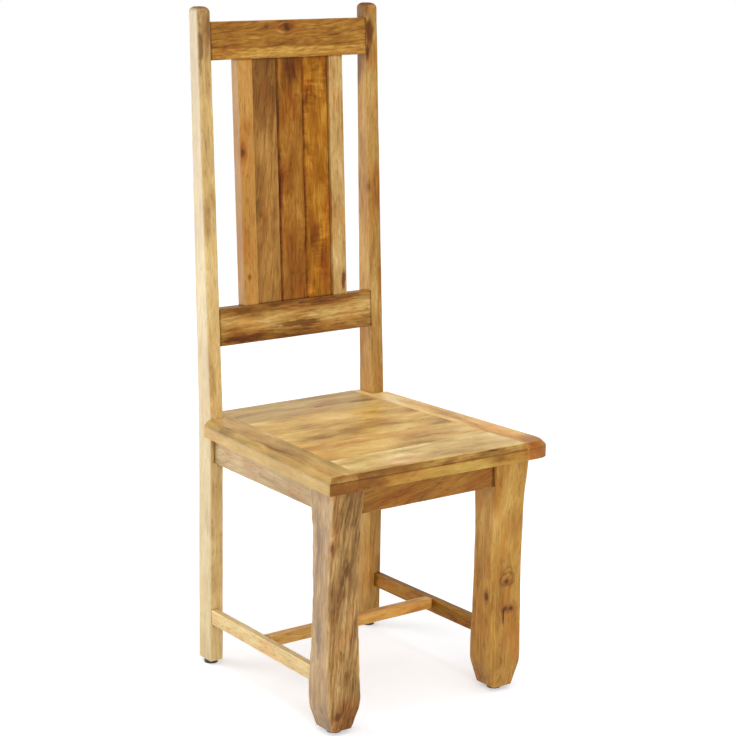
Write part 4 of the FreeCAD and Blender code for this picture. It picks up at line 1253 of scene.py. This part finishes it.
# %% Floor and room
ROOM_LIGHT = 0.5
FLOOR_HALF = 9.0
# Distance from the chair in metres, and the white added to the floor there.
LIFT_NEAR, LIFT_FAR = (0.4, 0.41), (4.0, 0.6)


def seen_directly(tree):
    """1 where a ray comes from the camera, a mirror-like surface or clear glass."""
    rays = add(tree, "LightPath").outputs
    either = add(tree, "Math", {0: rays["Is Camera Ray"], 1: rays["Is Glossy Ray"]}, operation="MAXIMUM")
    return add(tree, "Math", {0: either, 1: rays["Is Transmission Ray"]}, operation="MAXIMUM")


room = bpy.data.worlds.new("studio")
bpy.context.scene.world = room
tree = emptied(room)
level = add(tree, "MapRange", {"Value": seen_directly(tree), "To Min": ROOM_LIGHT, "To Max": 1.0})
white = add(tree, "Background", {"Color": (1, 1, 1, 1), "Strength": level})
add(tree, "OutputWorld", {"Surface": white})

floor_mesh = bpy.data.meshes.new("floor")
floor_corners = [(x, y, 0.0) for x, y in oblong(FLOOR_HALF, FLOOR_HALF).tolist()]
floor_mesh.from_pydata(floor_corners, [], [(0, 1, 2, 3)])
floor = bpy.data.objects.new("floor", floor_mesh)
bpy.context.collection.objects.link(floor)
paint = bpy.data.materials.new("matt white studio floor")
tree = emptied(paint)
matt = add(tree, "BsdfDiffuse", {"Color": linear("#eff2f7")})
place = add(tree, "TexCoord").outputs["Object"]
far = add(tree, "VectorMath", {0: place}, operation="LENGTH").outputs["Value"]
spare = add(tree, "MapRange", {"Value": far, "From Min": LIFT_NEAR[0], "From Max": LIFT_FAR[0],
                               "To Min": LIFT_NEAR[1], "To Max": LIFT_FAR[1]})
lift = add(tree, "Emission", {"Color": (1, 1, 1, 1), "Strength": spare})
none = add(tree, "Emission", {"Strength": 0.0})
top_up = add(tree, "MixShader", {0: seen_directly(tree), 1: none, 2: lift})
both = add(tree, "AddShader", {0: matt, 1: top_up})
add(tree, "OutputMaterial", {"Surface": both})
floor_mesh.materials.append(paint)
print("room light", ROOM_LIGHT)

# %% [markdown]
# The light is a white room with three soft boxes: a large one over the chair, one in front on the left, and
# one behind on the left, which puts the pale sheen on all left faces.

# %% Soft boxes
MIDDLE = Vector((0, 0, 0.55))


def soft_box(name, at, size, brightness):
    """Square panel lamp aimed at the middle of the chair; its power is pi x brightness x area."""
    lamp = bpy.data.lights.new(name, "AREA")
    lamp.size = size
    lamp.energy = math.pi * brightness * size ** 2
    held = bpy.data.objects.new(name, lamp)
    held.location = at
    held.rotation_euler = (MIDDLE - Vector(at)).to_track_quat("-Z", "Y").to_euler()
    held.visible_camera = False
    bpy.context.collection.objects.link(held)


soft_box("box_over_the_chair", (-0.2, -0.6, 3.4), 2.6, 1.6)
soft_box("box_front_left", (-1.2, -3.3, 1.35), 2.2, 3.2)
soft_box("box_behind_left", (-2.0, 2.4, 0.85), 1.8, 5.8)
print("lamps:", [lamp.name for lamp in bpy.data.lights])

# %% [markdown]
# The camera stands in front of the chair, to its left and above the seat, as the lines of the photograph say.
# Its turn, tilt and roll are in degrees and its place in metres; the lens follows from a picture 736 wide.

# %% Camera
TURN, TILT, ROLL = (math.radians(v) for v in (-36.63, -13.24, 0.98))
DISTANCE, ASIDE, HEIGHT = 3.36572, 0.03004, 1.34008
FOCAL_PIXELS, PICTURE, SENSOR = 2032.1, 736.0, 36.0
AIM_Y = 0.0265
outward = Vector((math.sin(TURN), -math.cos(TURN), 0))
right = Vector((math.cos(TURN), math.sin(TURN), 0))
ahead = -outward * math.cos(TILT) + Vector((0, 0, math.sin(TILT)))
upward = Vector((0, 0, math.cos(TILT))) + outward * math.sin(TILT)
rolled_right = right * math.cos(ROLL) + upward * math.sin(ROLL)
rolled_up = upward * math.cos(ROLL) - right * math.sin(ROLL)
stand = Matrix((rolled_right, rolled_up, -ahead)).transposed().to_4x4()
stand.translation = outward * DISTANCE + right * ASIDE + Vector((0, AIM_Y, HEIGHT))
camera = bpy.data.objects.new("camera", bpy.data.cameras.new("camera"))
camera.data.sensor_width = SENSOR
camera.data.lens = FOCAL_PIXELS / PICTURE * SENSOR
camera.matrix_world = stand
bpy.context.collection.objects.link(camera)
bpy.context.scene.camera = camera
bpy.context.scene.view_settings.view_transform = "Standard"
print("lens", round(camera.data.lens, 1), "mm")
